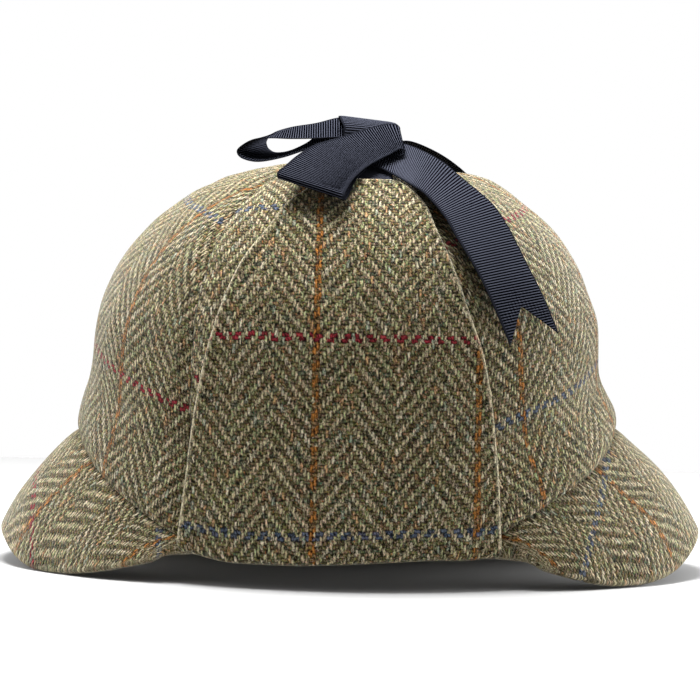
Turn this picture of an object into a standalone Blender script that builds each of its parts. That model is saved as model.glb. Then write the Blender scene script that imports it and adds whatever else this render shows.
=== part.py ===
"""Deerstalker hat: a tweed crown of six panels, two arched bills, two ear flaps folded up
over the sides, and a grosgrain bow that ties the flaps together on top.

X runs along the head, with the front bill towards -X. The wearer's left is -Y and Z is up.
The hat rests on the low edges of its bills at Z = 0. Sizes are in millimetres and
become metres where a mesh is made. A turn is an angle round the crown in degrees, from
the back (0) over the left side (90) to the front (180), negative on the right side.
"""

import math

import bmesh
import bpy
import numpy as np
from mathutils import Vector

MM = 0.001

# Crown
FRONT_REACH = 101.5          # half lengths and half width of the crown's wall
BACK_REACH = 98.5
SIDE_REACH = 86.0
SHOULDER = 74.0              # height where the wall ends and the dome begins
DOME = 85.5                  # rise of the dome above the shoulder
FRONT_SQUARE = 2.30          # superellipse exponents of the dome's profile
BACK_SQUARE = 2.45
SIDE_SQUARE = 2.35
CROWN_WALL = 2.0
SEAM_DIP = 1.1               # the panels sink towards their seams
SEAM_GAP = 0.7
TOP_HOLE = 5.0               # the panels' tips stop this far from the middle
WALL_ROWS = 5
DOME_ROWS = 11

# Bills
BILL_WALL = 3.0
BILL_TIP = 137.5             # the outer edge in plan, a superellipse about X = BILL_ROOT
BILL_ROOT = 30.0
BILL_HALF_WIDTH = 80.0
BILL_SQUARE = 1.85
BILL_CROWN = 2.4             # outward bulge between seam and edge
BILL_GAP = 0.45
BILL_COLUMNS = 26
BILL_ROWS = 5

# Ear flaps
FLAP_WALL = 2.4
FLAP_GAP = 0.7
FOLD_RADIUS = 3.1
FOLD_TURN = 100.0            # how far the lower edge curls under the crown
FOLD_STEPS = 4
FOLD_DROP = 0.6              # the fold's centre below the crown's lower edge
FLAP_ROWS = 17
FLAP_COLUMNS = 14
TIP_STRAIGHT = 0.25          # share of the half width where a flap's rows run straight
TIP_CURVED = 0.63            # and where they follow the crown's level

RIBBON_WALL = 1.0
RIBBON_LIFT = 1.0            # a ribbon's middle keeps this far off the crown

# Height of the crown's lower edge: turn from the back, height
EDGE_LINE = (
    (0.0, 57.0), (8.0, 55.2), (20.0, 47.2), (30.0, 39.8), (40.0, 32.8), (50.0, 25.4),
    (58.0, 18.8), (66.0, 15.6), (80.0, 14.2), (90.0, 13.2), (100.0, 12.3), (112.0, 12.2),
    (122.0, 14.6), (130.0, 19.6), (140.0, 27.4), (150.0, 35.2), (160.0, 43.0), (172.0, 50.6),
    (180.0, 52.4),
)

# The crown's wall above its lower edge: height above it, outward at the front, at the back
FLARE = (
    (0.0, 5.8, 7.4), (6.0, 4.6, 5.8), (14.0, 2.6, 2.2), (22.0, 0.7, -0.9), (30.0, 0.1, -0.5),
    (42.0, 0.0, 0.0),
)
FLARE_END = 62.0             # degrees from the mid-plane where the flare has died out

# The bills' outer edge: distance from the mid-plane, height at the front, at the back
BILL_EDGE = (
    (0.0, 15.0, 20.2), (10.0, 13.8, 19.2), (20.0, 10.6, 16.2), (30.0, 6.2, 10.4),
    (38.0, 2.8, 5.2), (45.0, 1.0, 2.2), (52.0, 0.5, 0.7), (58.0, 1.4, 1.2), (64.0, 3.3, 2.9),
    (70.0, 6.4, 6.2), (74.0, 8.8, 9.2), (78.0, 10.8, 11.8),
)

# Bills: name, side along X, half angle of the seam, plan angle where the edge meets the crown
BILLS = (
    ("front_bill", -1.0, 53.3, 71.2),
    ("back_bill", 1.0, 55.6, 73.6),
)

# Ear flaps: way up the side from the lower edge, reach to the front, to the back, lift
LEFT_FLAP = (
    (0.0, -59.0, 54.3, 0.0), (20.0, -57.2, 53.4, 0.0), (45.0, -54.7, 51.2, 0.0),
    (67.0, -51.0, 47.6, 0.0), (87.0, -45.4, 40.8, 0.0), (104.0, -38.3, 34.9, 0.0),
    (117.0, -29.8, 29.8, 0.0), (128.0, -23.8, 26.2, 0.0), (135.0, -17.5, 22.0, 0.0),
    (140.0, -10.5, 18.0, 0.0), (143.0, -4.0, 12.0, 0.0),
)
RIGHT_FLAP = (
    (0.0, -59.0, 54.3, 0.0), (20.0, -57.2, 53.4, 0.0), (45.0, -54.7, 51.2, 0.0),
    (67.0, -51.0, 47.6, 0.0), (87.0, -46.0, 41.5, 0.0), (104.0, -41.0, 37.0, 0.0),
    (125.0, -37.0, 33.0, 0.0), (150.0, -32.0, 28.0, 0.2), (170.0, -28.0, 24.0, 0.8),
    (180.0, -22.0, 18.0, 1.2), (184.0, -14.0, 10.0, 1.4),
)

# Crown panels: name, first turn, last turn
PANELS = (
    ("crown_back_left", 0.0, 68.0),
    ("crown_side_left", 68.0, 124.5),
    ("crown_front_left", 124.5, 180.0),
    ("crown_front_right", -180.0, -124.5),
    ("crown_side_right", -124.5, -68.0),
    ("crown_back_right", -68.0, 0.0),
)
PANEL_COLUMNS = 9

# Ribbons, a row for each cross-rib: one selvedge x, y, z, then the other selvedge x, y, z
LEFT_LOOP = (
    (4.0, -19.5, 166.0, 8.0, -38.0, 158.4), (11.5, -18.8, 168.3, 13.5, -39.5, 158.0),
    (17.0, -18.2, 170.6, 18.3, -40.2, 158.9), (16.8, -18.0, 172.8, 19.0, -40.0, 160.4),
    (12.9, -18.0, 173.4, 17.2, -40.0, 161.2), (7.0, -24.0, 171.3, 13.8, -43.0, 159.0),
    (0.1, -29.0, 168.3, 9.7, -48.0, 156.3), (-7.4, -37.0, 164.8, 5.2, -54.0, 153.0),
    (-14.7, -48.0, 161.1, 1.5, -61.0, 149.2), (-20.7, -57.0, 156.2, -0.9, -67.0, 145.8),
    (-25.0, -65.0, 151.3, -2.3, -71.2, 142.9), (-27.4, -69.0, 148.7, -3.0, -74.0, 141.2),
    (-27.6, -70.0, 147.3, -3.1, -75.0, 139.6), (-26.9, -69.0, 146.3, -2.8, -74.0, 138.7),
    (-25.5, -63.0, 147.7, -1.5, -69.0, 141.2), (-23.0, -53.0, 151.4, 1.0, -60.0, 147.6),
    (-18.0, -42.0, 157.2, 4.5, -49.5, 152.4), (-11.0, -35.0, 161.5, 6.5, -43.5, 156.6),
)
RIGHT_LOOP = (
    (-7.8, 12.0, 174.6, -6.7, -8.0, 168.6), (-14.5, 14.0, 175.5, -11.9, -8.0, 168.0),
    (-22.9, 17.0, 174.8, -21.3, -6.0, 167.4), (-31.0, 21.0, 174.2, -29.3, -2.0, 167.0),
    (-37.6, 25.0, 172.6, -37.4, 3.0, 166.4), (-39.6, 28.0, 170.4, -44.0, 7.0, 164.8),
    (-39.0, 29.0, 168.2, -46.4, 9.0, 162.6), (-36.4, 28.0, 166.4, -44.0, 8.0, 160.4),
    (-31.0, 24.0, 165.4, -37.6, 3.0, 160.3), (-23.0, 18.0, 168.4, -28.6, -3.0, 162.0),
    (-15.2, 12.0, 170.2, -19.5, -9.0, 164.2), (-8.6, 7.0, 170.2, -11.0, -13.0, 165.0),
)
LEFT_TAIL = (
    (9.0, -19.6, 162.6, 6.5, -45.0, 154.3), (14.6, -21.0, 164.1, 10.6, -47.8, 152.7),
    (18.3, -24.5, 165.0, 14.6, -50.5, 150.4), (22.8, -31.0, 163.1, 18.0, -55.5, 148.0),
    (28.9, -40.0, 159.2, 21.6, -61.0, 145.4), (34.2, -44.0, 155.5, 24.9, -64.8, 143.0),
    (39.8, -46.0, 150.7, 28.0, -67.0, 139.9), (45.3, -48.5, 146.0, 30.8, -69.0, 136.6),
    (51.9, -51.5, 139.9, 34.0, -71.5, 132.0), (56.9, -55.0, 132.3, 37.3, -74.5, 125.9),
    (60.8, -58.0, 124.5, 41.5, -77.0, 119.0), (64.8, -60.0, 116.4, 45.8, -78.0, 111.5),
    (68.8, -62.0, 108.4, 49.5, -78.8, 104.0), (72.1, -63.5, 101.0, 53.0, -79.6, 96.3),
    (75.4, -65.0, 92.8, 56.7, -80.2, 87.7),
)
RIGHT_TAIL = (
    (16.0, -14.0, 167.0, 19.0, 9.0, 162.2), (22.0, -11.0, 166.6, 22.5, 13.5, 161.6),
    (30.0, -6.0, 163.4, 27.5, 18.6, 160.8), (38.0, 1.0, 159.2, 31.5, 25.0, 157.2),
    (46.0, 9.0, 154.6, 35.5, 31.5, 152.6), (54.0, 17.0, 148.6, 40.5, 37.8, 146.6),
    (61.5, 25.0, 141.0, 46.5, 44.5, 138.8), (68.0, 32.0, 132.4, 52.0, 50.6, 130.2),
    (73.5, 37.6, 123.6, 56.8, 55.6, 121.2), (77.8, 41.8, 114.2, 60.6, 59.4, 112.0),
    (81.0, 44.8, 104.6, 63.2, 62.2, 102.4), (83.0, 46.4, 95.4, 65.0, 63.8, 93.0),
)
LEFT_TIE = (
    (-10.5, -52.6, 147.1, 14.5, -52.6, 146.5), (-10.5, -44.0, 152.2, 14.5, -44.0, 151.6),
    (-9.5, -34.0, 156.4, 14.0, -34.0, 155.9), (-6.5, -25.0, 158.9, 12.0, -25.0, 158.6),
    (-4.5, -15.0, 160.4, 12.0, -15.0, 160.2), (-4.0, -6.0, 160.6, 12.0, -6.0, 160.5),
    (-4.0, 2.0, 160.6, 12.0, 2.0, 160.5),
)
RIGHT_TIE = (
    (11.5, 14.8, 160.6, -12.5, 14.8, 160.6), (11.5, 9.0, 160.8, -12.0, 9.0, 160.8),
    (10.5, 3.4, 160.8, -9.5, 3.4, 160.8),
)
KNOT_CENTRE = (4.2, -7.0, 168.6)
KNOT_SIZE = (10.5, 10.0, 7.1)
KNOT_SQUARE = 2.6
NOTCH = 13.0                 # depth of the V cut in a tail's end

TWEED = ("tweed", (0.17, 0.15, 0.095), 0.9)
GROSGRAIN = ("grosgrain", (0.022, 0.024, 0.034), 0.55)


def smooth(rows, key, column):
    """Column of a table at a key, by a cubic between the rows that never overshoots."""
    table = np.array(rows)
    x, y = table[:, 0], table[:, column]
    step, slope = np.diff(x), np.diff(y) / np.diff(x)
    tangent = np.zeros(len(x))
    for i in range(1, len(x) - 1):
        if slope[i - 1] * slope[i] > 0.0:
            tangent[i] = 2.0 * slope[i - 1] * slope[i] / (slope[i - 1] + slope[i])
    tangent[0], tangent[-1] = slope[0], slope[-1]
    key = min(max(key, x[0]), x[-1])
    i = min(int(np.searchsorted(x, key, side="right")) - 1, len(x) - 2)
    t = (key - x[i]) / step[i]
    return float(
        (2 * t**3 - 3 * t**2 + 1) * y[i] + (t**3 - 2 * t**2 + t) * step[i] * tangent[i]
        + (3 * t**2 - 2 * t**3) * y[i + 1] + (t**3 - t**2) * step[i] * tangent[i + 1]
    )


def edge_height(turn):
    return smooth(EDGE_LINE, abs(turn), 1)


def reach_and_square(turn):
    """Half length along X on this side, and the dome's exponent at this turn."""
    front = abs(turn) > 90.0
    along = math.cos(math.radians(turn)) ** 2
    square = (FRONT_SQUARE if front else BACK_SQUARE) * along + SIDE_SQUARE * (1.0 - along)
    return (FRONT_REACH if front else BACK_REACH), square


def flare(turn, above):
    """How far the wall stands out at this height above its lower edge."""
    front = abs(turn) > 90.0
    off_middle = min(abs(turn), 180.0 - abs(turn)) / FLARE_END
    fade = math.cos(math.radians(90.0 * min(off_middle, 1.0)))
    return smooth(FLARE, max(above, 0.0), 1 if front else 2) * fade


def crown_surface(turn, level):
    """Point of the crown: level 0 at the lower edge, 1 at the shoulder, 2 at the top."""
    reach, square = reach_and_square(turn)
    low = edge_height(turn)
    if level <= 1.0:
        z, share = low + (SHOULDER - low) * level, 1.0
    else:
        rise = math.radians(90.0 * (level - 1.0))
        z = SHOULDER + DOME * math.sin(rise) ** (2.0 / square)
        share = math.cos(rise) ** (2.0 / square)
    out = flare(turn, z - low) * share
    angle = math.radians(turn)
    return np.array([
        (reach * share + out) * math.cos(angle),
        -(SIDE_REACH * share + out) * math.sin(angle),
        z,
    ])


def crown_point(turn, level, out=0.0):
    """Point at a distance outside the crown's surface."""
    point = crown_surface(turn, level)
    if out == 0.0:
        return point
    dt, dl = 0.2, 0.002
    level = min(max(level, dl), 1.99)
    if abs(level - 1.0) < 2 * dl:
        level = 1.0 - 2 * dl
    along = crown_surface(turn + dt, level) - crown_surface(turn - dt, level)
    up = crown_surface(turn, level + dl) - crown_surface(turn, level - dl)
    normal = np.cross(up, along)
    return point + out * normal / np.linalg.norm(normal)


def level_at_height(turn, z):
    low = edge_height(turn)
    if z <= SHOULDER:
        return (z - low) / (SHOULDER - low)
    square = reach_and_square(turn)[1]
    share = min((z - SHOULDER) / DOME, 1.0)
    return 1.0 + math.degrees(math.asin(share ** (square / 2.0))) / 90.0


def side_profile():
    """Heights up the middle of a side and the way up to each, in small steps."""
    levels = np.linspace(0.0, 1.98, 260)
    points = [crown_surface(90.0, level) for level in levels]
    way = [0.0]
    for a, b in zip(points, points[1:]):
        way.append(way[-1] + float(np.linalg.norm(b - a)))
    return np.array(way), np.array([p[2] for p in points])


def new_material(finish):
    name, colour, rough = finish
    material = bpy.data.materials.new(name)
    material.use_nodes = True
    shader = material.node_tree.nodes["Principled BSDF"]
    shader.inputs["Base Color"].default_value = (*colour, 1.0)
    shader.inputs["Roughness"].default_value = rough
    shader.inputs["Metallic"].default_value = 0.0
    return material


def sheet_mesh(columns, rows, place):
    """A grid whose vertices go where place(u, v) says in mm, with u and v from 0 to 1."""
    sheet = bmesh.new()
    bmesh.ops.create_grid(sheet, x_segments=columns, y_segments=rows, size=0.5)
    for vertex in sheet.verts:
        point = place(vertex.co.x + 0.5, vertex.co.y + 0.5)
        vertex.co = Vector([float(value) * MM for value in point])
    return sheet


def add_object(name, solid, finish, collection):
    mesh = bpy.data.meshes.new(name)
    solid.to_mesh(mesh)
    solid.free()
    mesh.shade_smooth()
    mesh.set_sharp_from_angle(angle=math.radians(50.0))
    mesh.materials.append(new_material(finish))
    piece = bpy.data.objects.new(name, mesh)
    collection.objects.link(piece)
    return piece


def thicken(piece, wall, offset):
    """Gives an open sheet its thickness: offset -1 puts it all behind the faces."""
    solidify = piece.modifiers.new("wall", "SOLIDIFY")
    solidify.thickness = wall * MM
    solidify.offset = offset


def add_crown_panel(name, first, last, collection):
    """One of the crown's gores, sunk a little towards the seams at its sides."""
    rows = WALL_ROWS + DOME_ROWS
    middle = (first + last) / 2.0
    square = reach_and_square(middle)[1]
    top_level = 2.0 - math.degrees(math.asin((TOP_HOLE / SIDE_REACH) ** (square / 2.0))) / 90.0

    def place(u, v):
        row = v * rows
        level = min(row / WALL_ROWS, 1.0 + max(0.0, row - WALL_ROWS) / DOME_ROWS, top_level)
        radius = math.hypot(*crown_surface(middle, level)[:2])
        inset = math.degrees(0.5 * SEAM_GAP / radius)
        turn = last - inset + (first - last + 2.0 * inset) * u
        dip = SEAM_DIP * abs(2.0 * u - 1.0) ** 5 * min(1.0, radius / 30.0)
        return crown_point(turn, level, -dip)

    piece = add_object(name, sheet_mesh(PANEL_COLUMNS, rows, place), TWEED, collection)
    thicken(piece, CROWN_WALL, -1.0)


def bill_point(side, seam_angle, end_angle, across, down):
    """Point of a bill: across -1 to 1 from end to end, down 0 at the seam to 1 at the edge."""
    turn = seam_angle * across if side > 0.0 else 180.0 - seam_angle * across
    turn = turn if turn <= 180.0 else turn - 360.0
    seam = crown_surface(turn, 0.0) - np.array([0.0, 0.0, BILL_GAP])
    plan = math.radians(end_angle * abs(across))
    x = BILL_ROOT + (BILL_TIP - BILL_ROOT) * math.cos(plan) ** (2.0 / BILL_SQUARE)
    y = BILL_HALF_WIDTH * math.sin(plan) ** (2.0 / BILL_SQUARE)
    edge = np.array([
        side * x, -math.copysign(y, across), smooth(BILL_EDGE, y, 2 if side > 0.0 else 1)
    ])
    fall = edge - seam
    length = float(np.linalg.norm(fall))
    fall = fall / length
    outward = np.array([0.0, 0.0, 1.0]) - fall[2] * fall
    outward = outward / np.linalg.norm(outward)
    bulge = BILL_CROWN * math.sin(math.pi * down) * length / 50.0
    return seam + (edge - seam) * down + bulge * outward


def add_bill(name, side, seam_angle, end_angle, collection):
    """An arched peak, its edge cut level where it stands on the floor."""
    def place(u, v):
        across = (2.0 * u - 1.0) * -side
        return bill_point(side, seam_angle, end_angle, across, 1.0 - v)

    bill = sheet_mesh(BILL_COLUMNS, BILL_ROWS, place)
    bmesh.ops.solidify(bill, geom=bill.faces[:], thickness=BILL_WALL * MM)
    everything = bill.verts[:] + bill.edges[:] + bill.faces[:]
    bmesh.ops.bisect_plane(
        bill, geom=everything, plane_co=(0.0, 0.0, 0.0), plane_no=(0.0, 0.0, 1.0), clear_inner=True
    )
    bmesh.ops.holes_fill(bill, edges=[edge for edge in bill.edges if edge.is_boundary])
    add_object(name, bill, TWEED, collection)


def flap_seat(x, way):
    """Turn and level on the crown's left side at a distance along X and a way up the side."""
    z = float(np.interp(way, SIDE_WAY, SIDE_HEIGHT))
    share = (1.0 - max(0.0, (z - SHOULDER) / DOME) ** SIDE_SQUARE) ** (1.0 / SIDE_SQUARE)
    curved = (share - TIP_STRAIGHT) / (TIP_CURVED - TIP_STRAIGHT)
    along = x / (FRONT_REACH if x < 0.0 else BACK_REACH)
    aside = math.sqrt(share**2 - min(max(curved, 0.0), 1.0) * along**2)
    turn = math.degrees(math.atan2(aside, along))
    if z > SHOULDER:
        square = reach_and_square(turn)[1]
        return turn, 1.0 + math.degrees(math.acos(math.hypot(along, aside) ** (square / 2.0))) / 90.0
    rise = (edge_height(turn) - SIDE_HEIGHT[0]) * max(0.0, 1.0 - way / 40.0)
    return turn, level_at_height(turn, z + rise)


def flap_point(rows, side, across, row):
    """Point of an ear flap's outer face: row 0 under the crown, then round the fold and up."""
    way = max(row - FOLD_STEPS, 0.0) / FLAP_ROWS * rows[-1][0]
    x = (1.0 - across) * smooth(rows, way, 1) + across * smooth(rows, way, 2)
    turn, level = flap_seat(x, way)
    out = FLAP_GAP + FLAP_WALL + smooth(rows, way, 3)
    curl = math.radians(FOLD_TURN * max(0.0, 1.0 - row / FOLD_STEPS))
    point = crown_point(turn, level, out - FOLD_RADIUS * (1.0 - math.cos(curl)))
    point[2] -= FOLD_RADIUS * math.sin(curl) + FOLD_DROP * max(0.0, 1.0 - way / 20.0)
    return point * np.array([1.0, side, 1.0])


def add_ear_flap(name, rows, side, collection):
    """A flap that leaves the crown's lower edge, folds round it and lies up the side."""
    steps = FOLD_STEPS + FLAP_ROWS

    def place(u, v):
        return flap_point(rows, side, u if side > 0.0 else 1.0 - u, v * steps)

    piece = add_object(name, sheet_mesh(FLAP_COLUMNS, steps, place), TWEED, collection)
    thicken(piece, FLAP_WALL, -1.0)


def off_crown(point):
    """The point, moved straight out where it is nearer to the crown's dome than the lift."""
    x, y, z = point
    reach = FRONT_REACH if x < 0.0 else BACK_REACH
    turn = math.degrees(math.atan2(abs(y) / SIDE_REACH, x / reach))
    square = reach_and_square(turn)[1]
    share = math.hypot(x / reach, y / SIDE_REACH)
    rise = max(0.0, (z - SHOULDER) / DOME)
    slope = np.array([
        share ** (square - 2.0) * x / reach**2,
        share ** (square - 2.0) * y / SIDE_REACH**2,
        rise ** (square - 1.0) / DOME,
    ])
    steep = np.linalg.norm(slope)
    outside = (share**square + rise**square - 1.0) / (square * steep)
    return point + max(0.0, RIBBON_LIFT - outside) * slope / steep


def ribbon_rib(rows, way):
    """The two selvedges of a ribbon at a way along it, by a cubic through its rows."""
    table = np.array(rows)
    last = len(table) - 1
    i = min(int(way), last - 1)
    t = way - i
    a, b = table[i], table[i + 1]
    before = table[i - 1] if i > 0 else 2.0 * a - b
    after = table[i + 2] if i + 2 <= last else 2.0 * b - a
    rib = 0.5 * (
        2.0 * a + (b - before) * t + (2.0 * before - 5.0 * a + 4.0 * b - after) * t**2
        + (3.0 * a - before - 3.0 * b + after) * t**3
    )
    return rib[:3], rib[3:]


def add_ribbon(name, rows, steps, collection, notch=0.0):
    """A strip of ribbon, with a V cut in its free end where notch gives a depth."""
    length = sum(
        np.linalg.norm(np.array(a[:3]) + a[3:] - b[:3] - b[3:]) / 2.0
        for a, b in zip(np.array(rows), np.array(rows)[1:])
    )

    def place(u, v):
        cut = notch / length * (1.0 - abs(2.0 * u - 1.0)) * v**8
        one, other = ribbon_rib(rows, (v - cut) * (len(rows) - 1))
        return off_crown(one + (other - one) * u)

    strip = sheet_mesh(4 if notch else 2, steps, place)
    piece = add_object(name, strip, GROSGRAIN, collection)
    thicken(piece, RIBBON_WALL, 0.0)


def add_knot(collection):
    """The bow's knot: a ball squeezed towards a box."""
    knot = bmesh.new()
    bmesh.ops.create_uvsphere(knot, u_segments=18, v_segments=10, radius=1.0)
    for vertex in knot.verts:
        size = sum(abs(value) ** KNOT_SQUARE for value in vertex.co) ** (1.0 / KNOT_SQUARE)
        for axis in range(3):
            place = KNOT_CENTRE[axis] + KNOT_SIZE[axis] * vertex.co[axis] / size
            vertex.co[axis] = place * MM
    add_object("bow_knot", knot, GROSGRAIN, collection)


def main():
    for old in list(bpy.data.objects):
        bpy.data.objects.remove(old, do_unlink=True)
    hat = bpy.data.collections.new("deerstalker_hat")
    bpy.context.scene.collection.children.link(hat)
    for name, first, last in PANELS:
        add_crown_panel(name, first, last, hat)
    for name, side, seam_angle, end_angle in BILLS:
        add_bill(name, side, seam_angle, end_angle, hat)
    add_ear_flap("left_ear_flap", LEFT_FLAP, 1.0, hat)
    add_ear_flap("right_ear_flap", RIGHT_FLAP, -1.0, hat)
    add_ribbon("left_tie", LEFT_TIE, 12, hat)
    add_ribbon("right_tie", RIGHT_TIE, 4, hat)
    add_knot(hat)
    add_ribbon("bow_left_loop", LEFT_LOOP, 51, hat)
    add_ribbon("bow_right_loop", RIGHT_LOOP, 33, hat)
    add_ribbon("bow_left_tail", LEFT_TAIL, 28, hat, NOTCH)
    add_ribbon("bow_right_tail", RIGHT_TAIL, 22, hat, NOTCH)


SIDE_WAY, SIDE_HEIGHT = side_profile()
main()
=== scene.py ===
"""Deerstalker hat in herringbone tweed with a grosgrain bow, dressed for close viewing.

X runs along the head with the front peak towards -X, the wearer's left is -Y, and Z is up.
Shapes are worked out in millimetres and become metres when their mesh is made. A turn is
an angle round the crown in degrees, from the back (0) over the left side (90) to the
front (180), and negative on the right side. A level is 0 at the crown's lower edge, 1 at
the shoulder where the dome begins, and 2 at the top.
"""

import logging
import math
from dataclasses import dataclass, field
from enum import Enum

import bmesh
import bpy
import numpy as np
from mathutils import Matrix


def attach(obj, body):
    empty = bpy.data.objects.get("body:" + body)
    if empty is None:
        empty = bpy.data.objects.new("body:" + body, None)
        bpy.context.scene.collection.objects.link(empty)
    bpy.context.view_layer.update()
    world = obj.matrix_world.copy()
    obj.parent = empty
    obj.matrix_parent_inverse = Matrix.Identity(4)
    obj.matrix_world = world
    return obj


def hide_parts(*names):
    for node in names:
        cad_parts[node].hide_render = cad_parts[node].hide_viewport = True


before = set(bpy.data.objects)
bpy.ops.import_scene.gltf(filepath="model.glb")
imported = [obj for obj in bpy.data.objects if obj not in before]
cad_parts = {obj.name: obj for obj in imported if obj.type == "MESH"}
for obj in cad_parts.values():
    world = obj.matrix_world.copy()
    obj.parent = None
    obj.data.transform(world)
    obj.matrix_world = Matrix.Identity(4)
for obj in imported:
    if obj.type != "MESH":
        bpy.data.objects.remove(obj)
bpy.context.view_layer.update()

MM = 0.001
BODY = "root"
CLOTH_UV = "cloth"
WEAR_AND_EDGE_LIGHT = "wear_and_edge_light"
LEAST_FILL = 0.31  # a sheet's area is taken to be at least this share of its flat size
LEVEL = 1e9  # a squared reach in Z that makes a direction lie level
log = logging.getLogger("deerstalker")

Array = np.ndarray
Table = tuple[tuple[float, ...], ...]
Colour = tuple[float, float, float, float]
Line = tuple[float, float]
Socket = bpy.types.NodeSocket
Inputs = dict[str | int, object]


class Side(Enum):
    """The wearer's side: the sign that Y is given."""

    LEFT = 1.0
    RIGHT = -1.0


class End(Enum):
    """The hat's end: the sign of X."""

    FRONT = -1.0
    BACK = 1.0


class Slot(Enum):
    """Material slots of the part's record."""

    TWEED = "tweed"
    RIBBON = "ribbon"


# ---------------------------------------------------------------- helpers for shapes


@dataclass(frozen=True)
class Curve:
    """A smooth line through the rows (key, value) of a short table.

    Attributes:
        rows: Key and value pairs, with rising keys.
    """

    rows: Table

    def at(self, key: Array | float) -> Array:
        """Read the line, which never overshoots its rows.

        Args:
            key: Where to read it; beyond the ends it keeps the end's value.

        Returns:
            The values, in the shape of the keys.
        """
        x, y = np.array(self.rows, dtype=float).T
        step = np.diff(x)
        slope = np.diff(y) / step
        tangent = np.zeros(len(x))
        same = slope[:-1] * slope[1:] > 0.0
        total = np.where(same, slope[:-1] + slope[1:], 1.0)
        tangent[1:-1] = np.where(same, 2.0 * slope[:-1] * slope[1:] / total, 0.0)
        tangent[0], tangent[-1] = slope[0], slope[-1]
        key = np.clip(np.asarray(key, dtype=float), x[0], x[-1])
        i = np.clip(np.searchsorted(x, key, side="right") - 1, 0, len(x) - 2)
        t = (key - x[i]) / step[i]
        return (
            (2 * t**3 - 3 * t**2 + 1) * y[i] + (t**3 - 2 * t**2 + t) * step[i] * tangent[i]
            + (3 * t**2 - 2 * t**3) * y[i + 1] + (t**3 - t**2) * step[i] * tangent[i + 1]
        )


def column(rows: Table, index: int) -> Curve:
    """Make a curve of one column of a table over its first column."""
    return Curve(tuple((row[0], row[index]) for row in rows))


def stations(count: int, length: float, low: float, high: float) -> Array:
    """Spread net lines over a length, closer together at its ends.

    Args:
        count: How many even steps fill the middle.
        length: The whole length, in mm.
        low: Width of the fine band at the start, in mm, or 0 for none.
        high: Width of the fine band at the end, in mm, or 0 for none.

    Returns:
        Rising shares of the length from 0 to 1.
    """
    fine = np.array([0.0, 0.08, 0.2, 0.36, 0.56, 0.78])
    parts = [fine * low / length] if low else []
    parts.append(np.linspace(low / length, 1.0 - high / length, count + 1))
    if high:
        parts.append((1.0 - fine * high / length)[::-1])
    return np.unique(np.round(np.concatenate(parts), 9))


def along(place: Array, axis: int) -> Array:
    """Measure the way along a net from its first line.

    Args:
        place: Points, rows by columns by 3.
        axis: 0 to walk up the rows, 1 to walk over the columns.

    Returns:
        The way to each point, rows by columns.
    """
    steps = np.linalg.norm(np.diff(place, axis=axis), axis=2)
    start = np.zeros_like(np.take(steps, [0], axis=axis))
    return np.concatenate([start, np.cumsum(steps, axis=axis)], axis=axis)


def normals(place: Array) -> Array:
    """Find the outward directions of a net whose columns and rows turn outwards.

    Args:
        place: Points, rows by columns by 3.

    Returns:
        Unit directions in the same layout.
    """
    across = np.gradient(place, axis=1)
    up = np.gradient(place, axis=0)
    out = np.cross(across, up)
    return out / np.maximum(np.linalg.norm(out, axis=2, keepdims=True), 1e-9)


def unit(value: Array) -> Array:
    """Keep a value from 0 to 1."""
    return np.clip(value, 0.0, 1.0)


def bell(way: Array, width: float, power: float = 2.0) -> Array:
    """Fall from 1 where a way is 0 towards 0 where it is far past a width."""
    return np.exp(-((way / width) ** power))


def swell(place: Array, size: float, seed: int) -> Array:
    """Give a gentle, even unevenness such as soft cloth has.

    Args:
        place: Points in mm, any layout with 3 last.
        size: Distance between swellings, in mm.
        seed: Picks one of many layouts.

    Returns:
        Numbers from about -1 to 1.
    """
    dice = np.random.default_rng(seed)
    total = np.zeros(place.shape[:-1])
    for _ in range(9):
        way = dice.normal(size=3)
        way *= 2.0 * math.pi / (size * dice.uniform(0.7, 1.5) * np.linalg.norm(way))
        total += np.sin(place @ way + dice.uniform(0.0, 2.0 * math.pi))
    return total / 3.0


def softness(place: Array, layers: Table, seed: int = 0) -> Array:
    """Add up layers of unevenness.

    Args:
        place: Points in mm, any layout with 3 last.
        layers: A row for each layer: its height and its size in mm, and its own seed.
        seed: Added to each layer's own.

    Returns:
        Heights in mm.
    """
    total = np.zeros(place.shape[:-1])
    for height, size, own in layers:
        total = total + height * swell(place, size, int(own) + seed)
    return total


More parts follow.
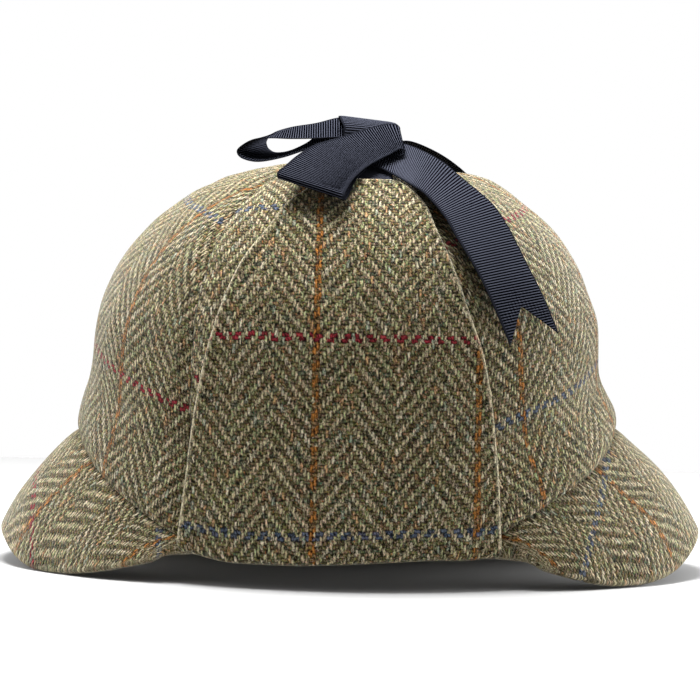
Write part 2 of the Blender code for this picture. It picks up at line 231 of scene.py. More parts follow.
@dataclass
class Sheet:
    """A sheet of cloth as a net of points on its outer face.

    Attributes:
        place: Points in mm, rows by columns by 3; columns by rows turn outwards.
        weave: Way along the weft and along the warp, in mm, rows by columns by 2.
        wear_and_edge_light: How far the cloth's fuzz is rubbed up and painted lighter as a
            highlight at edges, from 0 to 1, rows by columns.
        cut: Width, length and area of the cloth lying flat, in mm, or None to measure the net.
    """

    place: Array
    weave: Array
    wear_and_edge_light: Array
    cut: tuple[float, float, float] | None = None

    def lay(self, name: str, wall: float, offset: float) -> bpy.types.Object:
        """Make the sheet an object with its thickness.

        Args:
            name: The object's name.
            wall: The cloth's thickness, in mm.
            offset: -1 puts the thickness behind the outer face, 0 on both sides of it.

        Returns:
            The new object.
        """
        rows, columns = self.place.shape[:2]
        net = bmesh.new()
        bmesh.ops.create_grid(net, x_segments=columns - 1, y_segments=rows - 1, size=0.5)
        mesh = bpy.data.meshes.new(name)
        net.to_mesh(mesh)
        net.free()
        corner = np.empty(len(mesh.vertices) * 3, dtype=np.float32)
        mesh.vertices.foreach_get("co", corner)
        corner = corner.reshape(-1, 3)
        at_column = np.rint((corner[:, 0] + 0.5) * (columns - 1)).astype(int)
        at_row = np.rint((corner[:, 1] + 0.5) * (rows - 1)).astype(int)
        place = self.place[at_row, at_column] * MM
        mesh.vertices.foreach_set("co", place.astype(np.float32).ravel())
        loops = np.empty(len(mesh.loops), dtype=np.int32)
        mesh.loops.foreach_get("vertex_index", loops)
        weave = self.weave[at_row, at_column].astype(np.float32)
        layer = mesh.uv_layers.new(name=CLOTH_UV)
        layer.data.foreach_set("uv", weave[loops].ravel())
        # Rubbed-up fuzz and painted edge highlight, read by the tweed
        wear_and_edge_light = mesh.attributes.new(WEAR_AND_EDGE_LIGHT, "FLOAT", "POINT")
        wear_and_edge_light.data.foreach_set("value", self.wear_and_edge_light[at_row, at_column].astype(np.float32))
        mesh.shade_smooth()
        mesh.update()
        piece = bpy.data.objects.new(name, mesh)
        bpy.context.scene.collection.objects.link(piece)
        solidify = piece.modifiers.new("wall", "SOLIDIFY")
        solidify.thickness = wall * MM
        solidify.offset = offset
        solidify.use_quality_normals = True
        return piece

    def measure(self) -> tuple[float, float, float]:
        """Measure the net.

        Returns:
            Its greatest width and length and its area, in mm.
        """
        p = self.place
        one = np.linalg.norm(np.cross(p[1:, 1:] - p[:-1, :-1], p[1:, :-1] - p[:-1, 1:]), axis=2)
        width, length = along(p, 1)[:, -1].max(), along(p, 0)[-1].max()
        return float(width), float(length), 0.5 * float(one.sum())


def hand_over(piece: bpy.types.Object, sheet: Sheet) -> None:
    """Tie a finished piece to the part's frame, hide the CAD part that it stands for and log its
    faces.

    Args:
        piece: The finished object, named for the node it stands for.
        sheet: Its cloth.
    """
    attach(piece, BODY)
    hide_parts(piece.name.removesuffix("_cloth"))
    width, length, area = sheet.cut or sheet.measure()
    area = min(max(area, LEAST_FILL * width * length), width * length)
    log.info("%s: %d faces", piece.name, len(piece.data.polygons))


# ---------------------------------------------------------------- finishes


class Graph:
    """A material's node tree, wired through short calls."""

    def __init__(self, name: str) -> None:
        """Start an empty material.

        Args:
            name: The material's name.
        """
        self.material = bpy.data.materials.new(name)
        self.material.use_nodes = True
        self.tree = self.material.node_tree
        self.shader = self.tree.nodes["Principled BSDF"]

    def wire(self, socket: Socket, value: object) -> None:
        """Set a socket to a number, a colour or another node's output.

        Args:
            socket: The input to set.
            value: What it takes.
        """
        if isinstance(value, Socket):
            self.tree.links.new(value, socket)
        else:
            socket.default_value = value

    def dress(self, looks: dict[str, object]) -> bpy.types.Material:
        """Set inputs of the shader.

        Args:
            looks: What each named input takes.

        Returns:
            The finished material.
        """
        for name, value in looks.items():
            self.wire(self.shader.inputs[name], value)
        return self.material

    def node(self, kind: str, inputs: Inputs, **settings: object) -> bpy.types.Node:
        """Add a node.

        Args:
            kind: Its kind, without the words that every kind starts with.
            inputs: What each input takes.
            settings: Its other settings.

        Returns:
            The node.
        """
        node = self.tree.nodes.new("ShaderNode" + kind)
        for name, value in settings.items():
            setattr(node, name, value)
        for name, value in inputs.items():
            self.wire(node.inputs[name], value)
        return node

    def math(self, operation: str, *values: object) -> Socket:
        """Work out an operation on numbers."""
        return self.node("Math", dict(enumerate(values)), operation=operation).outputs[0]

    def add(self, one: object, other: object) -> Socket:
        """Add two numbers."""
        return self.math("ADD", one, other)

    def subtract(self, one: object, other: object) -> Socket:
        """Take the second number from the first."""
        return self.math("SUBTRACT", one, other)

    def multiply(self, one: object, other: object) -> Socket:
        """Multiply two numbers."""
        return self.math("MULTIPLY", one, other)

    def line(self, value: object, slope: float, start: object) -> Socket:
        """Multiply a number by a slope and add a start."""
        return self.math("MULTIPLY_ADD", value, slope, start)

    def either(self, share: object, one: object, other: object) -> Socket:
        """Take one number where the share is 1 and the other where it is 0."""
        rest = self.multiply(other, self.subtract(1.0, share))
        return self.add(self.multiply(one, share), rest)

    def blend(self, share: object, low: object, high: object, how: str = "MIX") -> Socket:
        """Mix two colours: a share of 0 gives the first and 1 the second."""
        colours = {0: share, 6: low, 7: high}
        return self.node("Mix", colours, data_type="RGBA", blend_type=how).outputs[2]

    def vector(self, x: object, y: object, z: object = 0.0) -> Socket:
        """Put three numbers together."""
        return self.node("CombineXYZ", {0: x, 1: y, 2: z}).outputs[0]

    def cloth_way(self) -> tuple[Socket, Socket]:
        """Read a point's place in the cloth.

        Returns:
            The way along the weft and along the warp, in mm.
        """
        place = self.node("UVMap", {}, uv_map=CLOTH_UV).outputs[0]
        parts = self.node("SeparateXYZ", {0: place})
        return parts.outputs[0], parts.outputs[1]

    def worn_and_lit(self) -> Socket:
        """Read how far the cloth's fuzz is rubbed up and its edge painted lighter as a highlight,
        from 0 to 1.
        """
        return self.node("Attribute", {}, attribute_name=WEAR_AND_EDGE_LIGHT).outputs["Fac"]

    def noise(self, vector: object, scale: float, detail: float) -> bpy.types.Node:
        """Add a noise of a fineness and a number of finer layers."""
        return self.node("TexNoise", {"Vector": vector, "Scale": scale, "Detail": detail})

    def scatter(self, vector: object, scale: float) -> tuple[Socket, ...]:
        """Read three unlike noises at once, from 0 to 1."""
        colour = self.noise(vector, scale, detail=1.0).outputs["Color"]
        return tuple(self.node("SeparateColor", {0: colour}).outputs)

    def dice(self, vector: object) -> Socket:
        """Roll one number from 0 to 1 for each whole place."""
        roll = self.node("TexWhiteNoise", {"Vector": vector}, noise_dimensions="3D")
        return roll.outputs["Value"]

    def palette(self, share: object, stops: Table) -> Socket:
        """Pick one of a few colours by a number from 0 to 1.

        Args:
            share: The number.
            stops: Rows of start, red, green and blue.

        Returns:
            The colour.
        """
        node = self.node("ValToRGB", {0: share})
        node.color_ramp.interpolation = "CONSTANT"
        stop = node.color_ramp.elements
        for index, (start, *colour) in enumerate(stops):
            if index >= len(stop):
                stop.new(start)
            stop[index].position = start
            stop[index].color = (*colour, 1.0)
        return node.outputs[0]

    def bump(self, height: object, strength: float, distance: float) -> Socket:
        """Turn a height into a tilt of the surface.

        Args:
            height: The height, from 0 to 1.
            strength: How much of it shows.
            distance: What a height of 1 means, in metres.

        Returns:
            The normal.
        """
        tilt = {"Strength": strength, "Distance": distance, "Height": height}
        return self.node("Bump", tilt).outputs[0]


@dataclass(frozen=True)
class Check:
    """Where the windowpane check's lines run on one piece.

    Attributes:
        warp: Way along the weft at which an orange line runs up the cloth, in mm.
        weft: Way along the warp at which a red line runs across it, in mm.
    """

    warp: float = 0.0
    weft: float = 0.0


@dataclass(frozen=True)
class Yarns:
    """Where a point of the cloth lies among its yarns.

    Attributes:
        end, pick: Numbers of its warp yarn and of its weft yarn.
        step: Number of its place along the slant of the herringbone.
        warp_up: 1 where the warp lies on top, 0 where the weft does.
        cross: Place across the yarn on top, from 0 to 1.
        height: Height of that yarn, from 0 to 1.
    """

    end: Socket
    pick: Socket
    step: Socket
    warp_up: Socket
    cross: Socket
    height: Socket


@dataclass(frozen=True)
class Tweed:
    """Herringbone wool tweed with a windowpane check.

    A Line is a slope and a start: a noise or a height is multiplied by the first, and the
    second is added.

    Attributes:
        warp_pitch, weft_pitch: Width of a warp yarn and of a weft yarn, in mm.
        ends: Warp yarns in one column of the herringbone.
        twill: Yarns in one repeat of the weave: two over and two under.
        check_columns: Columns between two orange lines.
        check_picks: Weft yarns between a red line and the next blue one.
        line_yarns: Yarns in one line of the check.
        warp_stops: Colours of the warp yarns, as start, red, green, blue.
        weft_stops: Colours of the weft yarns.
        fleck_stops: Colours of the single fibres that are spun into both.
        orange, red, blue: Colours of the check's lines.
        nap_and_highlight: Pale colour of rubbed-up fuzz and of a painted highlight at edges, also
            given to the stray hairs.
        fuzz_scale, bend_scale: How fine the yarns' fuzz and their slow bends are.
        warp_stray, weft_stray: How far fuzz and bends move the yarns, in mm.
        cross_hump, long_hump: How flat a yarn's top is across it and along it.
        long_height: Height over the hump along a yarn.
        orange_breaks: Noise below which an orange line is broken.
        line_strength: Strength of the red and blue lines over the noise.
        beside_share: How much orange the weft takes beside an orange line.
        blue_share: How much of the blue shows.
        fibre_slant: How far a fibre slants across its yarn.
        fibre_size: Fineness of the fibres across the warp and along it.
        fibre_scale: Fineness of the noise that they are read from.
        fibre_height: How high they stand, as a share of a yarn.
        fleck_share: Share of flecks over warp_up.
        fleck_calm: What a line of the check leaves of that share.
        glint, least_light: Painted highlight of single fibres over their noise, and its least
            value.
        shade: Painted shade over the yarns' height, darkest in the gaps between floats.
        rub_and_highlight: How that pale edge, rubbed-up fuzz and painted highlight, shows over the
            fibres' noise.
        hair_scale, hair_width, hair_rarity, hair_share: The stray pale hairs.
        relief, relief_depth: Strength of the bump, and what a height of 1 means, in metres.
    """

    warp_pitch: float = 1.2
    weft_pitch: float = 1.46
    ends: int = 12
    twill: float = 4.0
    check_columns: int = 4
    check_picks: int = 47
    line_yarns: int = 2
    warp_stops: Table = (
        (0.0, 0.148, 0.134, 0.084), (0.3, 0.120, 0.114, 0.062), (0.52, 0.096, 0.114, 0.054),
        (0.68, 0.152, 0.122, 0.080), (0.8, 0.204, 0.188, 0.138), (0.92, 0.076, 0.106, 0.086),
        (0.96, 0.150, 0.074, 0.026),
    )
    weft_stops: Table = (
        (0.0, 0.019, 0.0165, 0.003), (0.35, 0.010, 0.008, 0.002), (0.55, 0.022, 0.022, 0.003),
        (0.75, 0.031, 0.015, 0.003), (0.88, 0.008, 0.018, 0.012),
    )
    fleck_stops: Table = (
        (0.0, 0.008, 0.064, 0.060), (0.34, 0.084, 0.092, 0.008), (0.42, 0.150, 0.126, 0.086),
        (0.5, 0.045, 0.028, 0.010), (0.57, 0.210, 0.152, 0.130), (0.65, 0.190, 0.052, 0.010),
    )
    orange: Colour = (0.110, 0.040, 0.006, 1.0)
    red: Colour = (0.066, 0.0012, 0.0062, 1.0)
    blue: Colour = (0.021, 0.031, 0.056, 1.0)
    nap_and_highlight: Colour = (0.45, 0.39, 0.26, 1.0)
    fuzz_scale: float = 1.15
    bend_scale: float = 0.16
    warp_stray: tuple[float, float] = (1.15, 1.1)
    weft_stray: tuple[float, float] = (1.5, 1.6)
    cross_hump: float = 0.8
    long_hump: float = 0.5
    long_height: Line = (0.6, 0.4)
    orange_breaks: float = 0.36
    line_strength: Line = (0.5, 0.7)
    beside_share: float = 0.35
    blue_share: float = 0.75
    fibre_slant: float = 0.5
    fibre_size: tuple[float, float] = (1.5, 0.75)
    fibre_scale: float = 1.35
    fibre_height: float = 0.8
    fleck_share: Line = (0.18, 0.31)
    fleck_calm: Line = (-0.8, 1.0)
    glint: Line = (5.4, -1.62)
    least_light: float = 0.08
    shade: Line = (2.13, 0.01)
    rub_and_highlight: Line = (2.4, -0.7)
    hair_scale: float = 0.11
    hair_width: float = 0.0028
    hair_rarity: float = 0.6
    hair_share: float = 0.55
    relief: float = 0.55
    relief_depth: float = 0.0005

    def material(self, name: str, check: Check) -> bpy.types.Material:
        """Weave the cloth of one piece.

        Args:
            name: The material's name.
            check: Where the check's lines run on it.

        Returns:
            The material.
        """
        g = Graph(name)
        weft_way, warp_way = g.cloth_way()
        spot = g.vector(weft_way, warp_way)
        fuzz_x, fuzz_y, _ = g.scatter(spot, self.fuzz_scale)
        bend_x, bend_y, bend_z = g.scatter(spot, self.bend_scale)
        across = self._shift(g, g.subtract(weft_way, check.warp), fuzz_x, self.warp_stray[0])
        across = self._shift(g, across, bend_x, self.warp_stray[1])
        upward = self._shift(g, g.subtract(warp_way, check.weft), fuzz_y, self.weft_stray[0])
        upward = self._shift(g, upward, bend_y, self.weft_stray[1])
        yarns = self._weave(g, across, upward)
        twist = g.line(yarns.cross, self.fibre_slant, weft_way)
        fine_across, fine_along = self.fibre_size
        strand = g.vector(g.multiply(twist, fine_across), g.multiply(warp_way, fine_along), 3.0)
        hue, light, fine = g.scatter(strand, self.fibre_scale)
        colour = self._dye(g, yarns, bend_z, hue)

        # Painted shade: the gaps between floats are darkened by the yarns' height, and painted
        # highlights brighten single fibres as if they caught the light
        glint = g.math("MAXIMUM", g.line(light, *self.glint), self.least_light)
        shade = g.multiply(g.line(yarns.height, *self.shade), glint)
        colour = g.blend(1.0, colour, g.vector(shade, shade, shade), "MULTIPLY")
        # Paler edges: rubbed-up fuzz, and a painted highlight where a turned edge catches the light
        worn_and_lit = g.multiply(g.worn_and_lit(), g.line(light, *self.rub_and_highlight))
        worn_and_lit = g.math("MINIMUM", g.math("MAXIMUM", worn_and_lit, 0.0), 1.0)
        colour = g.blend(worn_and_lit, colour, self.nap_and_highlight)
        hair = g.noise(spot, self.hair_scale, detail=0.0).outputs[0]
        hair = g.math("ABSOLUTE", g.subtract(hair, 0.5))
        hair = g.multiply(g.math("LESS_THAN", hair, self.hair_width),
                          g.math("GREATER_THAN", bend_y, self.hair_rarity))
        hill = g.add(yarns.height, g.multiply(fine, self.fibre_height))
        return g.dress({
            "Base Color": g.blend(g.multiply(hair, self.hair_share), colour, self.nap_and_highlight),
            "Normal": g.bump(hill, self.relief, self.relief_depth),
            "Roughness": 0.95,
            "Specular IOR Level": 0.05,
            "Sheen Weight": 0.27,
            "Sheen Roughness": 0.35,
            "Sheen Tint": (0.86, 0.86, 0.80, 1.0),
        })

    def _weave(self, g: Graph, across: Socket, upward: Socket) -> Yarns:
        """Weave the herringbone.

        Args:
            g: The material.
            across: Way along the weft, in mm.
            upward: Way along the warp, in mm.

        Returns:
            The yarns at each place.
        """
        end_way = g.math("DIVIDE", across, self.warp_pitch)
        pick_way = g.math("DIVIDE", upward, self.weft_pitch)
        end, pick = g.math("FLOOR", end_way), g.math("FLOOR", pick_way)
        in_end, in_pick = g.math("FRACT", end_way), g.math("FRACT", pick_way)
        half = 0.5 * self.twill
        column_number = g.math("FLOOR", g.math("DIVIDE", end, float(self.ends)))
        odd = g.math("FLOORED_MODULO", column_number, 2.0)
        rung = g.math("FLOORED_MODULO", end, float(self.ends))
        climb = g.either(odd, rung, g.subtract(self.ends - 1.0, rung))
        step = g.add(g.add(pick, climb), g.multiply(odd, half))
        phase = g.math("FLOORED_MODULO", step, self.twill)
        warp_up = g.math("LESS_THAN", phase, half - 0.5)

        # Place along and across the float that lies on top
        mirrored = g.either(odd, in_end, g.subtract(1.0, in_end))
        warp_along = g.multiply(g.add(phase, in_pick), 1.0 / half)
        weft_along = g.multiply(g.add(g.subtract(phase, half), mirrored), 1.0 / half)
        long_way = g.either(warp_up, warp_along, weft_along)
        cross = g.either(warp_up, in_end, in_pick)
        long_height = g.line(self._hump(g, long_way, self.long_hump), *self.long_height)
        height = g.multiply(self._hump(g, cross, self.cross_hump), long_height)
        return Yarns(end, pick, step, warp_up, cross, height)

    def _dye(self, g: Graph, yarns: Yarns, bend: Socket, hue: Socket) -> Socket:
        """Colour the yarns, the fibres spun into them and the check's lines.

        Args:
            g: The material.
            yarns: The weave.
            bend: A slow noise that breaks the lines.
            hue: A fine noise that picks the fibres.

        Returns:
            The colour.
        """
        float_number = g.math("FLOOR", g.math("DIVIDE", yarns.step, self.twill))
        pair = g.math("FLOOR", g.multiply(yarns.end, 0.5))
        warp = g.palette(g.dice(g.vector(yarns.end, float_number, 1.0)), self.warp_stops)
        weft = g.palette(g.dice(g.vector(pair, yarns.pick, 7.0)), self.weft_stops)
        orange_here = self._on_line(g, yarns.end, self.ends * self.check_columns)
        red_here = self._on_line(g, yarns.pick, 2 * self.check_picks)
        moved_pick = g.add(yarns.pick, float(self.check_picks))
        blue_here = self._on_line(g, moved_pick, 2 * self.check_picks)
        orange = g.multiply(orange_here, g.math("GREATER_THAN", bend, self.orange_breaks))
        strength = g.math("MINIMUM", g.line(bend, *self.line_strength), 1.0)
        blue = g.multiply(g.multiply(blue_here, strength), self.blue_share)
        warp = g.blend(orange, warp, self.orange)
        weft = g.blend(g.multiply(orange, self.beside_share), weft, self.orange)
        weft = g.blend(g.multiply(red_here, strength), weft, self.red)
        weft = g.blend(blue, weft, self.blue)
        colour = g.blend(yarns.warp_up, weft, warp)
        on_line = g.either(yarns.warp_up, orange_here, g.math("MAXIMUM", red_here, blue_here))
        flecks = g.multiply(g.line(yarns.warp_up, *self.fleck_share),
                            g.line(on_line, *self.fleck_calm))
        return g.blend(flecks, colour, g.palette(hue, self.fleck_stops))

    def _on_line(self, g: Graph, number: Socket, every: int) -> Socket:
        """Return 1 on the first yarns of each group of so many, and 0 on the others."""
        place = g.math("FLOORED_MODULO", number, float(every))
        return g.math("LESS_THAN", place, self.line_yarns - 0.5)

    @staticmethod
    def _shift(g: Graph, way: object, noise: object, reach: float) -> Socket:
        """Move a way by so many mm for a whole step of a noise, and by none where it is 0.5."""
        return g.add(way, g.line(noise, reach, -0.5 * reach))

    @staticmethod
    def _hump(g: Graph, way: object, power: float) -> Socket:
        """Round a way from 0 to 1 into a hump, flatter on top where the power is below 1."""
        dome = g.multiply(g.multiply(way, 4.0), g.subtract(1.0, way))
        return g.math("POWER", g.math("MAXIMUM", dome, 0.0), power)


@dataclass(frozen=True)
class Grosgrain:
    """Dark navy grosgrain ribbon: fine ribs across it and a smooth selvedge at each side.

    Attributes:
        rib_pitch: Distance between ribs, in mm.
        rib_height: How high they stand, in mm.
        selvedge: Width of a selvedge, in mm.
        width: Width of the ribbon, in mm.
        rib: Colour of a rib's top, lightened as a painted highlight.
        groove: Colour between the ribs, darkened as painted shade.
        rib_light: Painted light over the rib's wave, as slope and start.
        selvedge_light: Light of the selvedges.
        thread_size, thread_scale, thread_detail: The threads' noise.
        thread_light: Light over that noise, as slope and start.
    """

    rib_pitch: float = 1.02
    rib_height: float = 0.24
    selvedge: float = 0.8
    width: float = 25.0
    rib: Colour = (0.056, 0.060, 0.080, 1.0)
    groove: Colour = (0.0006, 0.0007, 0.0014, 1.0)
    rib_light: Line = (3.4, -2.4)
    # selvedge_light: Light of the smooth selvedges, between the painted shade and the painted
    # highlight.
    selvedge_light: float = 0.16
    thread_size: float = 0.3
    thread_scale: float = 6.0
    thread_detail: float = 2.0
    thread_light: Line = (0.8, 0.6)

    def ribs(self, across: Array, way: Array) -> Array:
        """Return how far the ribs raise the ribbon, in mm."""
        body = unit(np.minimum(across, self.width - across) / self.selvedge - 0.6)
        return self.rib_height * np.sqrt(np.abs(np.cos(math.pi * way / self.rib_pitch))) * body

    def material(self, name: str) -> bpy.types.Material:
        """Weave the ribbon.

        Args:
            name: The material's name.

        Returns:
            The material.
        """
        g = Graph(name)
        across, way = g.cloth_way()
        turn = g.multiply(way, math.pi / self.rib_pitch)
        # Painted shade in the grooves and painted highlight on the ribs' tops
        wave = g.line(g.math("ABSOLUTE", g.math("COSINE", turn)), *self.rib_light)
        wave = g.math("MAXIMUM", wave, 0.0)
        near = g.math("LESS_THAN", across, self.selvedge)
        far = g.math("GREATER_THAN", across, self.width - self.selvedge)
        light = g.either(g.math("MAXIMUM", near, far), self.selvedge_light, wave)
        spot = g.vector(g.multiply(across, self.thread_size), way)
        thread = g.noise(spot, self.thread_scale, self.thread_detail).outputs[0]
        share = g.multiply(light, g.line(thread, *self.thread_light))
        return g.dress({
            "Base Color": g.blend(share, self.groove, self.rib),
            "Normal": g.bump(thread, strength=0.25, distance=0.0002),
            "Roughness": 0.6,
            "Specular IOR Level": 0.0,
        })


@dataclass(frozen=True)
class Lining:
    """Plain olive lining cloth for the crown's inside.

    Attributes:
        colour: Its colour.
    """

    colour: Colour = (0.15, 0.13, 0.075, 1.0)

    def material(self, name: str) -> bpy.types.Material:
        """Make the lining's material, with a fine plain weave.

        Args:
            name: The material's name.

        Returns:
            The material.
        """
        g = Graph(name)
        across, way = g.cloth_way()
        grain = g.noise(g.vector(across, way), scale=2.5, detail=3.0).outputs[0]
        return g.dress({
            "Base Color": self.colour,
            "Normal": g.bump(grain, strength=0.4, distance=0.0003),
            "Roughness": 0.55,
        })


# ---------------------------------------------------------------- the crown


@dataclass(frozen=True)
class CrownForm:
    """The shape that the crown's cloth follows.

    Attributes:
        front_reach, back_reach: Half lengths of the wall, in mm.
        side_reach: Its half width.
        shoulder: Height where the dome begins.
        dome: The dome's rise.
        front_square, back_square, side_square: How boxy its profile is.
        edge_line: Height of the lower edge over the turn.
        flare_rows: Height above that edge, outward at the front and at the back.
        flare_end: Turn off the mid-plane where the flare has died out.
        near_top: Level, just short of the top, up to which a direction can be worked out.
        profile_top: Level up to which a side's profile is walked.
        profile_steps: Steps of that walk.
    """

    front_reach: float = 102.2
    back_reach: float = 99.3
    side_reach: float = 86.0
    shoulder: float = 74.0
    dome: float = 85.5
    front_square: float = 2.30
    back_square: float = 2.45
    side_square: float = 2.35
    edge_line: Table = (
        (0.0, 57.0), (8.0, 55.2), (20.0, 47.2), (30.0, 39.8), (40.0, 32.8), (50.0, 25.4),
        (58.0, 18.8), (66.0, 15.6), (80.0, 14.2), (90.0, 13.2), (100.0, 12.3), (112.0, 12.2),
        (122.0, 14.6), (130.0, 19.6), (140.0, 27.4), (150.0, 35.2), (160.0, 43.0),
        (172.0, 50.6), (180.0, 52.4),
    )
    flare_rows: Table = (
        (0.0, 5.4, 7.4), (6.0, 4.7, 6.6), (14.0, 3.0, 3.4), (22.0, 1.0, 0.2),
        (30.0, 0.2, -0.3), (42.0, 0.0, 0.0),
    )
    flare_end: float = 62.0
    near_top: float = 1.99
    profile_top: float = 1.985
    profile_steps: int = 400

    def edge_height(self, turn: Array) -> Array:
        """Return the height of the crown's lower edge at a turn."""
        return Curve(self.edge_line).at(np.abs(turn))

    def reach(self, turn: Array) -> Array:
        """Return the half length on the turn's side."""
        return np.where(np.abs(turn) > 90.0, self.front_reach, self.back_reach)

    def square(self, turn: Array) -> Array:
        """Find how boxy the dome is.

        Args:
            turn: Turns, in degrees.

        Returns:
            The powers of its profile.
        """
        share = np.cos(np.radians(turn)) ** 2
        end = np.where(np.abs(turn) > 90.0, self.front_square, self.back_square)
        return end * share + self.side_square * (1.0 - share)

    def flare(self, turn: Array, above: Array) -> Array:
        """Find how far the wall stands out.

        Args:
            turn: Turns, in degrees.
            above: Heights above the lower edge, in mm.

        Returns:
            Distances in mm.
        """
        off = np.minimum(np.abs(turn), 180.0 - np.abs(turn)) / self.flare_end
        fade = np.cos(np.radians(90.0 * np.minimum(off, 1.0)))
        front = column(self.flare_rows, 1).at(np.maximum(above, 0.0))
        back = column(self.flare_rows, 2).at(np.maximum(above, 0.0))
        return np.where(np.abs(turn) > 90.0, front, back) * fade

    def surface(self, turn: Array, level: Array) -> Array:
        """Find points of the crown.

        Args:
            turn: Turns, in degrees.
            level: Levels, in the same layout.

        Returns:
            Points in mm, with 3 last.
        """
        turn, level = np.broadcast_arrays(np.asarray(turn, float), np.asarray(level, float))
        low, square = self.edge_height(turn), self.square(turn)
        rise = np.radians(90.0 * unit(level - 1.0))
        on_dome = level > 1.0
        z = np.where(on_dome, self.shoulder + self.dome * np.sin(rise) ** (2.0 / square),
                     low + (self.shoulder - low) * level)
        share = np.where(on_dome, np.cos(rise) ** (2.0 / square), 1.0)
        out = self.flare(turn, z - low) * share
        angle = np.radians(turn)
        return np.stack([
            (self.reach(turn) * share + out) * np.cos(angle),
            -(self.side_reach * share + out) * np.sin(angle),
            z,
        ], axis=-1)

    def point(self, turn: Array, level: Array, out: Array | float) -> Array:
        """Find points at a distance outside the crown.

        Args:
            turn: Turns, in degrees.
            level: Levels.
            out: Distances outward, in mm.

        Returns:
            Points in mm, with 3 last.
        """
        turn, level = np.broadcast_arrays(np.asarray(turn, float), np.asarray(level, float))
        dt, dl = 0.2, 0.002
        near = np.clip(level, dl, self.near_top)
        near = np.where(np.abs(near - 1.0) < 2 * dl, 1.0 - 2 * dl, near)
        around = self.surface(turn + dt, near) - self.surface(turn - dt, near)
        up = self.surface(turn, near + dl) - self.surface(turn, near - dl)
        way = np.cross(up, around)
        way /= np.linalg.norm(way, axis=-1, keepdims=True)
        return self.surface(turn, level) + np.asarray(out)[..., None] * way

    def side_profile(self) -> tuple[Array, Array]:
        """Walk up the middle of a side.

        Returns:
            The way so far and the height at each step, in mm.
        """
        level = np.linspace(0.0, self.profile_top, self.profile_steps)
        points = self.surface(np.full(self.profile_steps, 90.0), level)
        way = np.concatenate([[0.0], np.cumsum(np.linalg.norm(np.diff(points, axis=0), axis=1))])
        return way, points[:, 2]

    def off_crown(self, place: Array, lift: float) -> Array:
        """Move points straight out where they are nearer to the dome than a lift.

        Args:
            place: Points in mm, with 3 last.
            lift: The least distance, in mm.

        Returns:
            The moved points.
        """
        x, y, z = np.moveaxis(place, -1, 0)
        reach = np.where(x < 0.0, self.front_reach, self.back_reach)
        turn = np.degrees(np.arctan2(np.abs(y) / self.side_reach, x / reach))
        square = self.square(turn)
        share = np.maximum(np.hypot(x / reach, y / self.side_reach), 1e-6)
        rise = np.maximum(0.0, (z - self.shoulder) / self.dome)
        slope = np.stack([
            share ** (square - 2.0) * x / reach**2,
            share ** (square - 2.0) * y / self.side_reach**2,
            rise ** (square - 1.0) / self.dome,
        ], axis=-1)
        steep = np.linalg.norm(slope, axis=-1)
        outside = (share**square + rise**square - 1.0) / (square * steep)
        push = np.maximum(0.0, lift - outside)
        return place + (push / steep)[..., None] * slope


@dataclass(frozen=True)
class Gore:
    """One cloth panel of the crown.

    Attributes:
        name: Its node.
        first, last: Turns between which it lies.
        check: Where the check runs on it.
    """

    name: str
    first: float
    last: float
    check: Check


